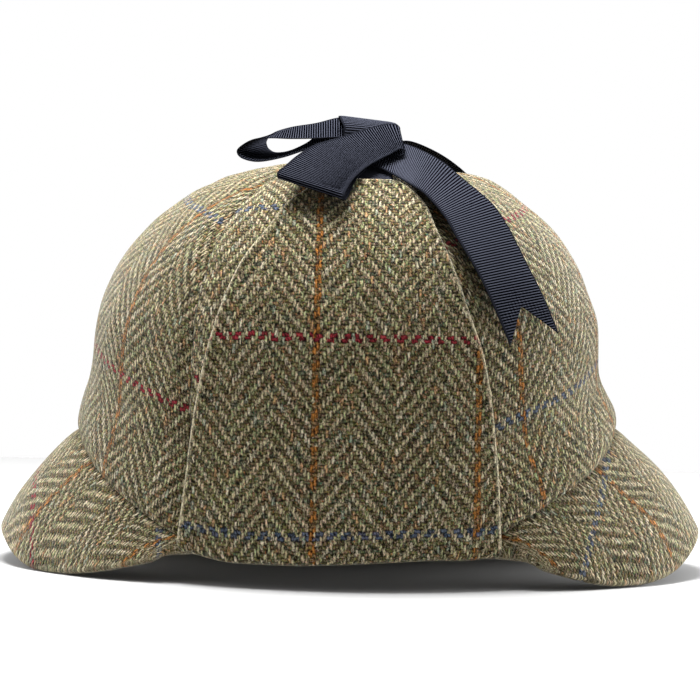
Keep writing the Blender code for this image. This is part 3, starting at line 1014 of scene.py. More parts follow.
@dataclass
class Crown:
    """The domed crown: six gores sewn together.

    Attributes:
        form: The shape they follow.
        wall: Thickness of cloth and lining together, in mm.
        seam_dip: How deep the cloth sinks at a seam.
        seam_width: How wide that groove is to each side.
        seam_fade: Distance from the top, in mm, below which the seams grow shallow.
        calm_fade: Distance from the top below which the cloth lies even.
        least_groove: Share of the groove's depth that is left at the top.
        soft: The cloth's unevenness: rows of height, size and seed.
        seam_calm: Width beside a seam where the cloth lies even.
        pucker, pucker_width: Unevenness beside a seam, and how far it reaches.
        crowding, crowding_power: How much closer the net's rows lie towards the top.
        tuck_height: How far up the lower edge is tucked in.
        tuck_turn, tuck_fade: Turn off the mid-plane where the tuck ends, and over how much.
        puff_height, puff_turn: How far the puff reaches in levels and in degrees of turn.
        top_hole: The tips stop this far from the middle.
        weft_fall: How much the weft falls for each mm away from the mid-plane.
        puff_level: Level near the top where the cloth puffs up in front and behind.
        front_puff, back_puff: How far it does so, in mm.
        columns, rows: Even steps of a gore's net.
        gores: The panels.
    """

    form: CrownForm
    wall: float = 2.0
    seam_dip: float = 1.5
    seam_width: float = 4.2
    seam_fade: float = 25.0
    calm_fade: float = 30.0
    least_groove: float = 0.15
    soft: Table = ((0.35, 46.0, 0.0), (0.16, 17.0, 50.0))
    seam_calm: float = 9.0
    pucker: Table = ((0.28, 9.0, 90.0),)
    pucker_width: float = 7.0
    crowding: float = 0.38
    crowding_power: float = 0.9
    tuck_height: float = 2.2
    tuck_turn: float = 62.0
    tuck_fade: float = 10.0
    puff_height: float = 0.1
    puff_turn: float = 40.0
    top_hole: float = 2.0
    weft_fall: float = 0.35
    puff_level: float = 1.7
    front_puff: float = 1.0
    back_puff: float = 2.6
    columns: int = 60
    rows: int = 110
    gores: tuple[Gore, ...] = (
        Gore("crown_back_left", 0.0, 68.0, Check(20.8, 100.8)),
        Gore("crown_side_left", 68.0, 124.5, Check(-12.7, 72.0)),
        Gore("crown_front_left", 124.5, 180.0, Check(50.8, 39.0)),
        Gore("crown_front_right", -180.0, -124.5, Check(31.0, 93.0)),
        Gore("crown_side_right", -124.5, -68.0, Check(8.0, 66.0)),
        Gore("crown_back_right", -68.0, 0.0, Check(44.0, 58.0)),
    )

    def gore_sheet(self, gore: Gore, seed: int) -> Sheet:
        """Shape one gore.

        Args:
            gore: The panel.
            seed: Picks its unevenness.

        Returns:
            Its cloth.
        """
        form = self.form
        share = stations(self.columns, length=95.0, low=7.0, high=7.0)
        rise = stations(self.rows, length=190.0, low=5.0, high=0.0)
        square = float(form.square(np.array((gore.first + gore.last) / 2.0)))
        hole = (self.top_hole / form.side_reach) ** (square / 2.0)
        top = 2.0 - math.degrees(math.asin(hole)) / 90.0
        crowded = self.crowding * rise**self.crowding_power
        level = top * ((1.0 - self.crowding) * rise + crowded)
        turn = gore.last + (gore.first - gore.last) * share
        turn, level = np.meshgrid(turn, level)
        flat = form.point(turn, level, 0.0)
        over, up = along(flat, 1), along(flat, 0)
        to_seam = np.minimum(over, over[:, -1:] - over)
        to_top = np.hypot(flat[..., 0], flat[..., 1])
        off_middle = np.minimum(np.abs(turn), 180.0 - np.abs(turn))

        groove = self.seam_dip * bell(to_seam, self.seam_width, power=1.3)
        groove *= np.clip(to_top / self.seam_fade, self.least_groove, 1.0)
        tuck = bell(up, self.tuck_height, power=1.4)
        tuck = tuck * unit((self.tuck_turn - off_middle) / self.tuck_fade)
        even = unit(to_top / self.calm_fade)
        soft = softness(flat, self.soft, seed) * (unit(to_seam / self.seam_calm) * even)
        pucker = softness(flat, self.pucker, seed) * bell(to_seam, self.pucker_width, power=1.0)
        puff = bell(level - self.puff_level, self.puff_height) * bell(off_middle, self.puff_turn)
        puff = puff * np.where(np.abs(turn) > 90.0, self.front_puff, self.back_puff)
        out = puff - groove - tuck + soft + pucker * even
        return Sheet(form.point(turn, level, out), self._weave(gore, flat, over, up), 0.0 * up)

    def _weave(self, gore: Gore, flat: Array, over: Array, up: Array) -> Array:
        """Run the cloth's grain up a gore, beside the seam it is cut along.

        Args:
            gore: The panel.
            flat: Its points.
            over: The way across it from its first column.
            up: The way up it from its lowest row.

        Returns:
            The ways along weft and warp, with 2 last.
        """
        if "side" in gore.name:
            middle = over - over[:, -1:] * 0.5
            return np.stack([middle, up - up[:1] + flat[:1, :, 2]], axis=-1)
        last_is_seam = abs(gore.first) in (0.0, 180.0)
        from_seam = over[:, -1:] - over if last_is_seam else over
        seam_column = -1 if last_is_seam else 0
        seam_z, seam_way = flat[:, seam_column, 2], up[:, seam_column]
        steep = flat[..., 2] < seam_z[0]
        way = np.interp(flat[..., 2], seam_z, seam_way)
        way = np.where(steep, flat[..., 2] - seam_z[0], way)
        return np.stack([from_seam, way + self.weft_fall * from_seam], axis=-1)

    def build(self, tweed: Tweed, lining: Lining) -> None:
        """Make the six gores.

        Args:
            tweed: Their outer cloth.
            lining: Their inner cloth.
        """
        inside = lining.material("crown_lining")
        for seed, gore in enumerate(self.gores):
            sheet = self.gore_sheet(gore, seed)
            piece = sheet.lay(gore.name + "_cloth", self.wall, offset=-1.0)
            piece.data.materials.append(tweed.material(gore.name + "_tweed", gore.check))
            piece.data.materials.append(inside)
            piece.modifiers["wall"].material_offset = 1
            hand_over(piece, sheet)


# ---------------------------------------------------------------- the peaks


@dataclass
class Peak:
    """An arched peak sewn under the crown's edge.

    Attributes:
        name: Its node.
        end: Front or back.
        seam_angle: Half angle of the seam, in degrees of turn.
        edge_angle: Plan angle where its edge meets the crown.
        form: The crown it is sewn to.
        check: Where the check runs on it.
        edge_rows: Distance of the edge from the mid-plane and its height.
        tip, root, half_width, plan_square: Its edge in plan.
        grain: Way along the warp for each mm outward and for each mm down.
        wall: Its thickness, in mm.
        bulge: How far it stands out between seam and edge.
        bulge_shift: Above 1 moves the bulge towards the edge.
        bulge_length: Length of cloth, in mm, that bulges so far.
        tuck: How far its ends draw in behind the ear flaps.
        tuck_from, tuck_over: Share of the half width where that starts, and over how much.
        seam_gap: Room below the crown's edge.
        rim: Radius of its turned edge.
        seam_dip, seam_width: How deep and how wide the seam draws it in.
        side_dip, side_width: The same at its two ends.
        under, under_width: How far the seam's edge goes inward below the crown, and over how much.
        under_rise: How far it rises there for each mm inward.
        soft: The cloth's unevenness: rows of height, size and seed.
        seam_calm: Width beside the seam where the cloth lies even.
        worn, worn_lit_way, worn_lit_width: How much its fuzz is rubbed up and painted lighter as a
            highlight near the edge, where from the edge, how wide.
        lowest: Least height above the surface that the hat stands on.
        columns, rows: Even steps of its net.
    """

    name: str
    end: End
    seam_angle: float
    edge_angle: float
    form: CrownForm
    check: Check
    edge_rows: Table
    tip: float
    plan_square: float
    grain: tuple[float, float]
    wall: float = 2.6
    root: float = 30.0
    half_width: float = 80.0
    bulge: float = 2.8
    bulge_shift: float = 1.35
    bulge_length: float = 50.0
    tuck: float = 3.8
    tuck_from: float = 0.87
    tuck_over: float = 0.06
    seam_gap: float = 0.2
    rim: float = 1.5
    seam_dip: float = 0.9
    seam_width: float = 2.0
    side_dip: float = 1.2
    side_width: float = 0.9
    under: float = 1.5
    under_width: float = 1.3
    under_rise: float = 0.9
    soft: Table = ((0.3, 38.0, 31.0),)
    seam_calm: float = 8.0
    worn_and_lit: float = 0.3
    worn_lit_way: float = 1.0
    worn_lit_width: float = 1.2
    lowest: float = 0.3
    columns: int = 120
    rows: int = 46

    def sheet(self) -> Sheet:
        """Shape the peak's upper cloth.

        Returns:
            Its cloth.
        """
        sign = self.end.value
        share = stations(self.columns, length=190.0, low=4.0, high=4.0)
        down = 1.0 - stations(self.rows, length=50.0, low=3.0, high=3.0)
        across, down = np.meshgrid((2.0 * share - 1.0) * -sign, down)
        turn = self.seam_angle * across
        if self.end is End.FRONT:
            turn = np.where(across < 0.0, -180.0 - turn, 180.0 - turn)
        seam = self.form.surface(turn, np.zeros_like(turn)) - np.array([0.0, 0.0, self.seam_gap])
        plan = np.radians(self.edge_angle * np.abs(across))
        x = self.root + (self.tip - self.root) * np.cos(plan) ** (2.0 / self.plan_square)
        y = self.half_width * np.sin(plan) ** (2.0 / self.plan_square)
        z = Curve(self.edge_rows).at(y)
        edge = np.stack([sign * x, -np.sign(across) * y, z], axis=-1)
        near_end = unit((np.abs(across) - self.tuck_from) / self.tuck_over)
        edge[..., 1] += np.sign(across) * self.tuck * near_end**2 * (3.0 - 2.0 * near_end)

        fall = edge - seam
        length = np.linalg.norm(fall, axis=-1, keepdims=True)
        fall = fall / length
        outward = np.array([0.0, 0.0, 1.0]) - fall[..., 2:] * fall
        outward /= np.linalg.norm(outward, axis=-1, keepdims=True)
        length = length[..., 0]
        swollen = np.sin(math.pi * down**self.bulge_shift) * length / self.bulge_length * self.bulge
        place = seam + (edge - seam) * down[..., None] + swollen[..., None] * outward

        way = down * length
        to_edge = length - way
        side = along(place, 1)
        to_side = np.minimum(side, side[:, -1:] - side)
        soft = softness(place, self.soft) * unit(way / self.seam_calm)
        rim = self.rim * (1.0 - np.sqrt(unit(1.0 - (1.0 - to_edge / self.rim) ** 2)))
        rim = np.where(to_edge < self.rim, rim, 0.0)
        seam_dip = self.seam_dip * bell(way, self.seam_width, power=1.5)
        out = soft - rim - seam_dip - self.side_dip * bell(to_side, self.side_width)
        place = place + out[..., None] * normals(place)
        place[..., 2] = np.maximum(place[..., 2], self.lowest)
        weave = self._weave(place)
        inward = -seam / np.array([self.form.front_reach**2, self.form.side_reach**2, LEVEL])
        inward /= np.linalg.norm(inward, axis=-1, keepdims=True)
        inward[..., 2] = self.under_rise
        place = place + (self.under * bell(way, self.under_width))[..., None] * inward
        # Paler near the edge: rubbed-up fuzz and a painted highlight
        wear_and_edge_light = self.worn_and_lit * bell(to_edge - self.worn_lit_way, self.worn_lit_width)
        return Sheet(place, weave, wear_and_edge_light)

    def _weave(self, place: Array) -> Array:
        """Run the warp from the crown to the edge, side by side with the mid-plane.

        Args:
            place: The peak's points.

        Returns:
            The ways along weft and warp, with 2 last.
        """
        half = place[place.shape[0] // 2]
        over = along(half[None], 1)[0]
        over = over - np.interp(0.0, *self._rising(half[:, 1], over))
        from_middle = np.interp(place[..., 1], *self._rising(half[:, 1], over))
        outward, down = self.grain
        along_warp = outward * np.abs(place[..., 0]) - down * place[..., 2]
        return np.stack([from_middle, along_warp], axis=-1)

    @staticmethod
    def _rising(key: Array, value: Array) -> tuple[Array, Array]:
        """Sort a line by its key for reading."""
        order = np.argsort(key)
        return key[order], value[order]

    def build(self, tweed: Tweed) -> None:
        """Make the peak.

        Args:
            tweed: Its cloth.
        """
        sheet = self.sheet()
        piece = sheet.lay(self.name + "_cloth", self.wall, offset=-1.0)
        piece.data.materials.append(tweed.material(self.name + "_tweed", self.check))
        hand_over(piece, sheet)


# ---------------------------------------------------------------- the ear flaps


@dataclass
class EarFlap:
    """An ear flap folded up over the crown's side.

    Attributes:
        name: Its node.
        side: The wearer's side.
        form: The crown that it lies on.
        outline: Way up the side, reach to the front, to the back, and lift.
        check: Where the check runs on it.
        wall: Room that its thickness takes, in mm.
        thinner: How much thinner it is than that.
        gap: Room between it and the crown.
        girth_span: X just inside the crown's two ends, in mm.
        follow: Way up the side over which the fold follows the crown's lower edge.
        fold_radius: Radius of the fold at the crown's lower edge.
        fold_turn: How far the fold curls under, in degrees.
        fold_drop: The fold's centre below the crown's edge.
        drop_fade: Way up the flap where it hangs no lower any more.
        corner_drop: How much further the fold's back corner hangs.
        corner_from, corner_over: Distance along X where that starts, and over how much.
        straight, curved: Shares of the half width between which rows straighten.
        edge_round: Radius of its turned edge.
        ridge: How far the seam inside its edge lifts the cloth.
        ridge_way, ridge_width: Where that is from the edge, and how wide.
        worn_lit_way, worn_lit_width: The same for the rubbed-up fuzz and painted highlight that
            make the edge paler.
        fold_worn_lit: How much of that there is on the fold.
        patches: Unevenness of that paler edge: rows of height, size and seed.
        soft: The cloth's unevenness: rows of height, size and seed.
        least_soft: How far the cloth may sink between the swellings.
        edge_calm, fold_calm: Width beside the edge, and rows of the fold, where it lies even.
        columns, rows, fold_rows: Even steps of its net.
    """

    name: str
    side: Side
    form: CrownForm
    outline: Table
    check: Check
    wall: float = 2.4
    thinner: float = 0.1
    gap: float = 0.7
    girth_span: tuple[float, float] = (-101.0, 98.0)
    follow: float = 40.0
    fold_radius: float = 3.1
    fold_turn: float = 100.0
    fold_drop: float = 0.6
    drop_fade: float = 20.0
    corner_drop: float = 3.6
    corner_from: float = 26.0
    corner_over: float = 28.0
    straight: float = 0.25
    curved: float = 0.63
    edge_round: float = 1.2
    ridge: float = 0.6
    ridge_way: float = 2.1
    ridge_width: float = 1.6
    worn_lit_way: float = 0.75
    worn_lit_width: float = 0.8
    fold_worn_lit: float = 0.3
    patches: Table = ((0.4, 9.0, 73.0),)
    soft: Table = ((0.4, 52.0, 71.0), (0.15, 19.0, 72.0))
    least_soft: float = -0.45
    edge_calm: float = 10.0
    fold_calm: float = 1.1
    columns: int = 90
    rows: int = 150
    fold_rows: int = 12

    def _seat(self, x: Array, way: Array) -> tuple[Array, Array]:
        """Find where on the crown's left side a place of the flap lies.

        Args:
            x: Distance along X, in mm.
            way: Way up the side, in mm.

        Returns:
            The turn and the level.
        """
        form = self.form
        side_way, side_height = form.side_profile()
        z = np.interp(way, side_way, side_height)
        rise = unit((z - form.shoulder) / form.dome)
        share = (1.0 - rise**form.side_square) ** (1.0 / form.side_square)
        bend = unit((share - self.straight) / (self.curved - self.straight))
        lengthwise = x / np.where(x < 0.0, form.front_reach, form.back_reach)
        aside = np.sqrt(np.maximum(share**2 - bend * lengthwise**2, 0.0))
        turn = np.degrees(np.arctan2(aside, lengthwise))
        whole = unit(np.hypot(lengthwise, aside))
        on_dome = 1.0 + np.degrees(np.arccos(whole ** (form.square(turn) / 2.0))) / 90.0
        low = form.edge_height(turn)
        lift = (low - side_height[0]) * np.maximum(0.0, 1.0 - way / self.follow)
        on_wall = (z + lift - low) / (form.shoulder - low)
        return turn, np.where(z > form.shoulder, on_dome, on_wall)

    def sheet(self) -> Sheet:
        """Shape the flap's outer cloth.

        Returns:
            Its cloth.
        """
        total = self.outline[-1][0]
        share = stations(self.columns, length=110.0, low=4.0, high=4.0)
        fold = np.linspace(0.0, 1.0, self.fold_rows, endpoint=False) - 1.0
        row = np.concatenate([fold, stations(self.rows, total, low=0.0, high=5.0)])
        across, row = np.meshgrid(share if self.side is Side.LEFT else 1.0 - share, row)
        way = np.maximum(row, 0.0) * total
        front = column(self.outline, 1).at(way)
        back = column(self.outline, 2).at(way)
        x = (1.0 - across) * front + across * back
        turn, level = self._seat(x, way)
        rest = self.gap + self.wall + column(self.outline, 3).at(way)
        curl = np.radians(self.fold_turn * np.maximum(0.0, -row))
        flat = self.form.point(turn, level, rest - self.fold_radius * (1.0 - np.cos(curl)))
        flat[..., 2] -= self.fold_radius * np.sin(curl)
        corner = self.corner_drop * unit((x - self.corner_from) / self.corner_over) ** 2
        drop = self.fold_drop + corner
        flat[..., 2] -= drop * np.maximum(0.0, 1.0 - way / self.drop_fade)
        flat[..., 1] *= self.side.value

        over = along(flat, 1)
        to_side = np.minimum(over, over[:, -1:] - over)
        to_edge = np.minimum(to_side, np.where(row < 0.0, math.inf, total - way))
        inside = unit(1.0 - to_edge / self.edge_round)
        turned = self.edge_round * (1.0 - np.sqrt(1.0 - inside**2))
        ridge = self.ridge * bell(to_edge - self.ridge_way, self.ridge_width)
        soft = softness(flat, self.soft)
        soft *= unit(to_edge / self.edge_calm) * unit((row + 1.0) / self.fold_calm)
        out = ridge + np.maximum(soft, self.least_soft) - turned
        place = flat + out[..., None] * normals(flat)
        # Paler near the edge and on the fold: rubbed-up fuzz and a painted highlight
        wear_and_edge_light = bell(to_edge - self.worn_lit_way, self.worn_lit_width)
        wear_and_edge_light = wear_and_edge_light * np.where(row < 0.0, self.fold_worn_lit, 1.0)
        wear_and_edge_light = wear_and_edge_light * unit(0.9 + softness(flat, self.patches))
        weave = np.stack([self._girth(x), way - self.fold_radius * curl], axis=-1)
        return Sheet(place, weave, wear_and_edge_light)

    def _girth(self, x: Array) -> Array:
        """Measure round the crown's wall from the side's middle.

        Args:
            x: Distances along X, in mm.

        Returns:
            The ways to them, in mm.
        """
        key = np.linspace(*self.girth_span, 800)
        reach = np.where(key < 0.0, self.form.front_reach, self.form.back_reach)
        y = self.form.side_reach * np.sqrt(1.0 - (key / reach) ** 2)
        way = np.concatenate([[0.0], np.cumsum(np.hypot(np.diff(key), np.diff(y)))])
        return np.interp(x, key, way - np.interp(0.0, key, way))

    def build(self, tweed: Tweed) -> None:
        """Make the flap.

        Args:
            tweed: Its cloth.
        """
        sheet = self.sheet()
        piece = sheet.lay(self.name + "_cloth", self.wall - self.thinner, offset=-1.0)
        piece.data.materials.append(tweed.material(self.name + "_tweed", self.check))
        hand_over(piece, sheet)


# ---------------------------------------------------------------- the bow


@dataclass
class Strip:
    """A length of ribbon.

    Attributes:
        name: Its node.
        ribs: One selvedge and the other, as x, y, z, x, y, z in mm, for each rib.
        form: The crown it is kept clear of.
        rests: What it lies on; not used.
        finish: The ribbon's finish.
        notch: Depth of the V cut in its end, in mm, or 0.
        lift: Least distance from the dome, in mm.
        wall: Its thickness.
        columns: Steps of its net across.
        rib_steps: Steps of its net to each rib.
        fine_steps: Steps in which its length is measured.
        notch_power: How close to its end the ribs begin to bend along the V cut.
    """

    name: str
    ribs: Table
    form: CrownForm
    rests: tuple[str, ...]
    finish: Grosgrain
    notch: float
    lift: float
    wall: float = 0.4
    columns: int = 14
    rib_steps: int = 6
    fine_steps: int = 4000
    notch_power: int = 8

    def sheet(self) -> Sheet:
        """Shape the ribbon.

        Returns:
            Its cloth.
        """
        table = np.array(self.ribs)
        place_in_table = np.linspace(0.0, len(table) - 1.0, self.fine_steps)
        one, other = self._rib(place_in_table, table)
        middle_way = along((one + other)[:, None] / 2.0, 0)[:, 0]
        length = float(middle_way[-1])
        step = self.finish.rib_pitch / self.rib_steps
        share = stations(self.columns, self.finish.width, low=0.9, high=0.9)
        u, way = np.meshgrid(share, np.append(np.arange(0.0, length - 0.5 * step, step), length))
        to_middle = 1.0 - np.abs(2.0 * u - 1.0)
        way = way - self.notch * to_middle * (way / length) ** self.notch_power
        one, other = self._rib(np.interp(way, middle_way, place_in_table), table)
        place = one + (other - one) * u[..., None]
        place = self.form.off_crown(place, self.lift)
        across = self.finish.width * u
        place = place + self.finish.ribs(across, way)[..., None] * normals(place)
        cut = (self.finish.width, length, self.finish.width * (length - 0.5 * self.notch))
        return Sheet(place, np.stack([across, way], axis=-1), 0.0 * u, cut)

    @staticmethod
    def _rib(way: Array, table: Array) -> tuple[Array, Array]:
        """Find the two selvedges at ways along the ribbon.

        Args:
            way: Places along it, counted in ribs.
            table: The ribs.

        Returns:
            The points of one selvedge and of the other.
        """
        last = len(table) - 1
        padded = np.concatenate([[2 * table[0] - table[1]], table, [2 * table[-1] - table[-2]]])
        i = np.clip(way.astype(int), 0, last - 1)
        t = (way - i)[..., None]
        before, a, b, after = (padded[i + k] for k in range(4))
        rib = 0.5 * (
            2.0 * a + (b - before) * t + (2.0 * before - 5.0 * a + 4.0 * b - after) * t**2
            + (3.0 * a - before - 3.0 * b + after) * t**3
        )
        return rib[..., :3], rib[..., 3:]

    def build(self, ribbon: bpy.types.Material) -> None:
        """Make the length of ribbon.

        Args:
            ribbon: Its material.
        """
        sheet = self.sheet()
        piece = sheet.lay(self.name + "_cloth", self.wall, offset=0.0)
        piece.data.materials.append(ribbon)
        hand_over(piece, sheet)


@dataclass
class Bow:
    """The grosgrain bow that ties the ear flaps together.

    Attributes:
        form: The crown below it.
        finish: The ribbon's finish.
        left_loop, right_loop, knot, left_tail, right_tail: The ribs of each length of ribbon.
        left_tie, right_tie: The ribs of the ties below the bow.
        notch: Depth of the V cut in a tail's end, in mm.
        lift: Least distance of the ribbon from the dome.
        puff_lift: The same for the right tail, where the cloth puffs up.
    """

    form: CrownForm
    finish: Grosgrain = field(default_factory=Grosgrain)
    left_loop: Table = (
        (4.0, -19.5, 166.0, 8.0, -38.0, 158.4), (11.5, -18.8, 168.3, 13.5, -39.5, 158.0),
        (17.0, -18.2, 170.6, 18.3, -40.2, 158.9), (16.8, -18.0, 172.8, 19.0, -40.0, 160.4),
        (12.9, -18.0, 173.4, 17.2, -40.0, 161.2), (7.0, -24.0, 171.3, 13.8, -43.0, 159.0),
        (0.1, -29.0, 168.3, 9.7, -48.0, 156.3), (-7.4, -37.0, 164.8, 5.2, -54.0, 153.0),
        (-14.7, -48.0, 161.1, 1.5, -61.0, 149.2), (-20.7, -57.0, 156.2, -0.9, -67.0, 145.8),
        (-25.0, -65.0, 151.3, -2.3, -71.2, 142.9), (-27.4, -69.0, 148.7, -3.0, -74.0, 141.2),
        (-27.6, -70.0, 147.3, -3.1, -75.0, 139.6), (-26.9, -69.0, 146.3, -2.8, -74.0, 138.7),
        (-25.5, -63.0, 147.7, -1.5, -69.0, 141.2), (-23.0, -53.0, 151.4, 1.0, -60.0, 147.6),
        (-18.0, -42.0, 157.2, 4.5, -49.5, 152.4), (-11.0, -35.0, 161.5, 6.5, -43.5, 156.6),
    )
    right_loop: Table = (
        (8.0, 7.4, 175.6, 8.0, -12.6, 169.8),
        (0.5, 10.0, 177.0, 0.5, -13.4, 167.0), (-5.7, 12.1, 179.4, -5.4, -10.5, 168.6),
        (-15.9, 15.3, 177.3, -15.3, -8.0, 168.4), (-25.4, 19.1, 176.1, -25.3, -4.5, 168.5),
        (-32.1, 23.1, 174.6, -33.8, -1.0, 169.0), (-35.1, 26.5, 173.1, -40.0, 2.5, 168.8),
        (-36.6, 28.1, 171.4, -44.5, 5.0, 167.0), (-36.6, 27.7, 169.7, -47.3, 6.0, 164.3),
        (-35.5, 26.9, 167.7, -45.2, 5.0, 161.4), (-32.4, 25.1, 166.1, -38.5, 2.0, 159.8),
        (-26.5, 22.1, 166.6, -28.8, -2.0, 161.2), (-19.9, 18.2, 169.3, -19.6, -6.0, 163.9),
        (-15.0, 15.2, 172.4, -13.7, -8.5, 165.6), (-8.4, 12.8, 174.3, -8.1, -11.0, 167.4),
        (-1.0, 7.6, 173.6, -1.0, -12.4, 167.4), (7.0, 6.4, 170.0, 7.0, -12.0, 165.8),
    )
    knot: Table = (
        (-5.0, -12.4, 163.2, 17.0, -12.4, 162.6), (-5.2, -17.0, 167.2, 17.8, -17.6, 166.0),
        (-4.2, -17.4, 171.2, 18.0, -18.2, 169.6), (-5.4, -15.2, 174.6, 17.4, -14.6, 172.6),
        (-6.2, -10.6, 176.8, 16.2, -9.0, 174.6), (-6.6, -4.0, 177.7, 15.4, -3.0, 175.6),
        (-6.4, 2.0, 177.3, 15.4, 2.0, 175.3), (-6.0, 6.6, 175.0, 16.4, 6.0, 173.4),
        (-5.4, 8.6, 171.0, 17.0, 7.6, 169.6), (-5.0, 7.6, 166.0, 17.0, 6.8, 165.4),
        (-4.0, 3.6, 163.0, 16.6, 3.2, 162.6), (-3.0, -4.0, 164.4, 16.0, -4.0, 164.0),
        (-3.0, -10.6, 166.0, 16.0, -11.0, 165.4), (-3.0, -13.4, 169.6, 16.0, -13.6, 168.6),
        (-3.4, -9.4, 173.0, 15.6, -9.4, 171.4), (-3.6, -2.0, 174.4, 15.2, -2.0, 172.8),
        (-3.4, 3.8, 172.4, 15.2, 3.4, 170.8), (-3.2, 4.0, 168.2, 15.2, 3.6, 167.6),
        (-3.0, -2.0, 166.8, 15.0, -2.0, 166.4), (-3.0, -8.6, 168.4, 15.0, -8.4, 167.8),
        (-3.0, -7.0, 171.2, 15.0, -6.6, 170.4), (-3.0, -1.0, 171.6, 15.0, -1.0, 170.6),
        (-3.0, 0.6, 169.6, 15.0, 0.4, 168.8), (-3.0, -4.0, 169.0, 15.0, -4.0, 168.4),
    )
    left_tail: Table = (
        (9.0, -19.6, 162.6, 6.5, -45.0, 154.3), (14.6, -21.0, 164.1, 10.6, -47.8, 152.7),
        (18.3, -24.5, 165.0, 14.6, -50.5, 150.4), (22.8, -31.0, 163.1, 18.0, -55.5, 148.0),
        (28.9, -40.0, 159.2, 21.6, -61.0, 145.4), (34.2, -44.0, 155.5, 24.9, -64.8, 143.0),
        (39.8, -46.0, 150.7, 28.0, -67.0, 139.9), (45.3, -48.5, 146.0, 30.8, -69.0, 136.6),
        (51.9, -51.5, 139.9, 34.0, -71.5, 132.0), (56.9, -55.0, 132.3, 37.3, -74.5, 125.9),
        (60.8, -58.0, 124.5, 41.5, -77.0, 119.0), (64.8, -60.0, 116.4, 45.8, -78.0, 111.5),
        (68.8, -62.0, 108.4, 49.5, -78.8, 104.0), (72.1, -63.5, 101.0, 53.0, -79.6, 96.3),
        (75.4, -65.0, 92.8, 56.7, -80.2, 87.7),
    )
    right_tail: Table = (
        (16.0, -14.0, 167.0, 19.0, 9.0, 162.2), (22.0, -11.0, 167.6, 22.5, 13.5, 164.0),
        (30.0, -6.0, 165.4, 27.5, 18.6, 163.4), (38.0, 1.0, 162.0, 31.5, 25.0, 160.0),
        (46.0, 9.0, 157.0, 35.5, 31.5, 155.0), (54.0, 17.0, 150.0, 40.5, 37.8, 148.0),
        (61.5, 25.0, 141.0, 46.5, 44.5, 138.8), (68.0, 32.0, 132.4, 52.0, 50.6, 130.2),
        (73.5, 37.6, 123.6, 56.8, 55.6, 121.2), (77.8, 41.8, 114.2, 60.6, 59.4, 112.0),
        (81.0, 44.8, 104.6, 63.2, 62.2, 102.4), (83.0, 46.4, 95.4, 65.0, 63.8, 93.0),
    )
    left_tie: Table = (
        (-10.5, -52.6, 147.1, 14.5, -52.6, 146.5), (-10.5, -44.0, 152.2, 14.5, -44.0, 151.6),
        (-9.5, -34.0, 156.4, 14.0, -34.0, 155.9), (-6.5, -25.0, 158.9, 12.0, -25.0, 158.6),
        (-4.5, -15.0, 160.4, 12.0, -15.0, 160.2), (-4.0, -6.0, 160.6, 12.0, -6.0, 160.5),
        (-4.0, 2.0, 160.6, 12.0, 2.0, 160.5),
    )
    right_tie: Table = (
        (11.5, 14.8, 160.6, -12.5, 14.8, 160.6), (11.5, 9.0, 160.8, -12.0, 9.0, 160.8),
        (10.5, 3.4, 160.8, -9.5, 3.4, 160.8),
    )
    notch: float = 13.0
    lift: float = 0.9
    puff_lift: float = 3.0

    def build(self) -> None:
        """Make the ties, the knot, the loops and the tails."""
        ribbon = self.finish.material("navy_grosgrain")
        tail, puffed_tail = (self.notch, self.lift), (self.notch, self.puff_lift)
        plain = (0.0, self.lift)
        for name, ribs, under, (notch, lift) in (
            ("left_tie", self.left_tie, "crown_side_left", plain),
            ("right_tie", self.right_tie, "crown_side_right", plain),
            ("bow_left_loop", self.left_loop, "left_ear_flap", plain),
            ("bow_right_loop", self.right_loop, "bow_knot", plain),
            ("bow_knot", self.knot, "left_tie", plain),
            ("bow_left_tail", self.left_tail, "crown_side_left", tail),
            ("bow_right_tail", self.right_tail, "crown_back_right", puffed_tail),
        ):
            Strip(name, ribs, self.form, (under,), self.finish, notch, lift).build(ribbon)


# ---------------------------------------------------------------- the studio


@dataclass(frozen=True)
class Lamp:
    """A soft square lamp.

    Attributes:
        name: Its name.
        place: Where it hangs, in metres.
        size: Its side, in metres.
        power: Its power, in watts.
    """

    name: str
    place: tuple[float, float, float]
    size: float
    power: float

    def hang(self, aim: float) -> None:
        """Hang it, turned to a point above the surface's middle.

        Args:
            aim: That point's height, in metres.
        """
        light = bpy.data.lights.new(self.name, "AREA")
        light.size = self.size
        light.energy = self.power
        lamp = bpy.data.objects.new(self.name, light)
        lamp.location = self.place
        x, y, z = np.array([0.0, 0.0, aim]) - np.array(self.place)
        tilt = math.atan2(math.hypot(x, y), -z)
        lamp.rotation_euler = (tilt, 0.0, math.atan2(y, x) - math.pi / 2)
        bpy.context.scene.collection.objects.link(lamp)


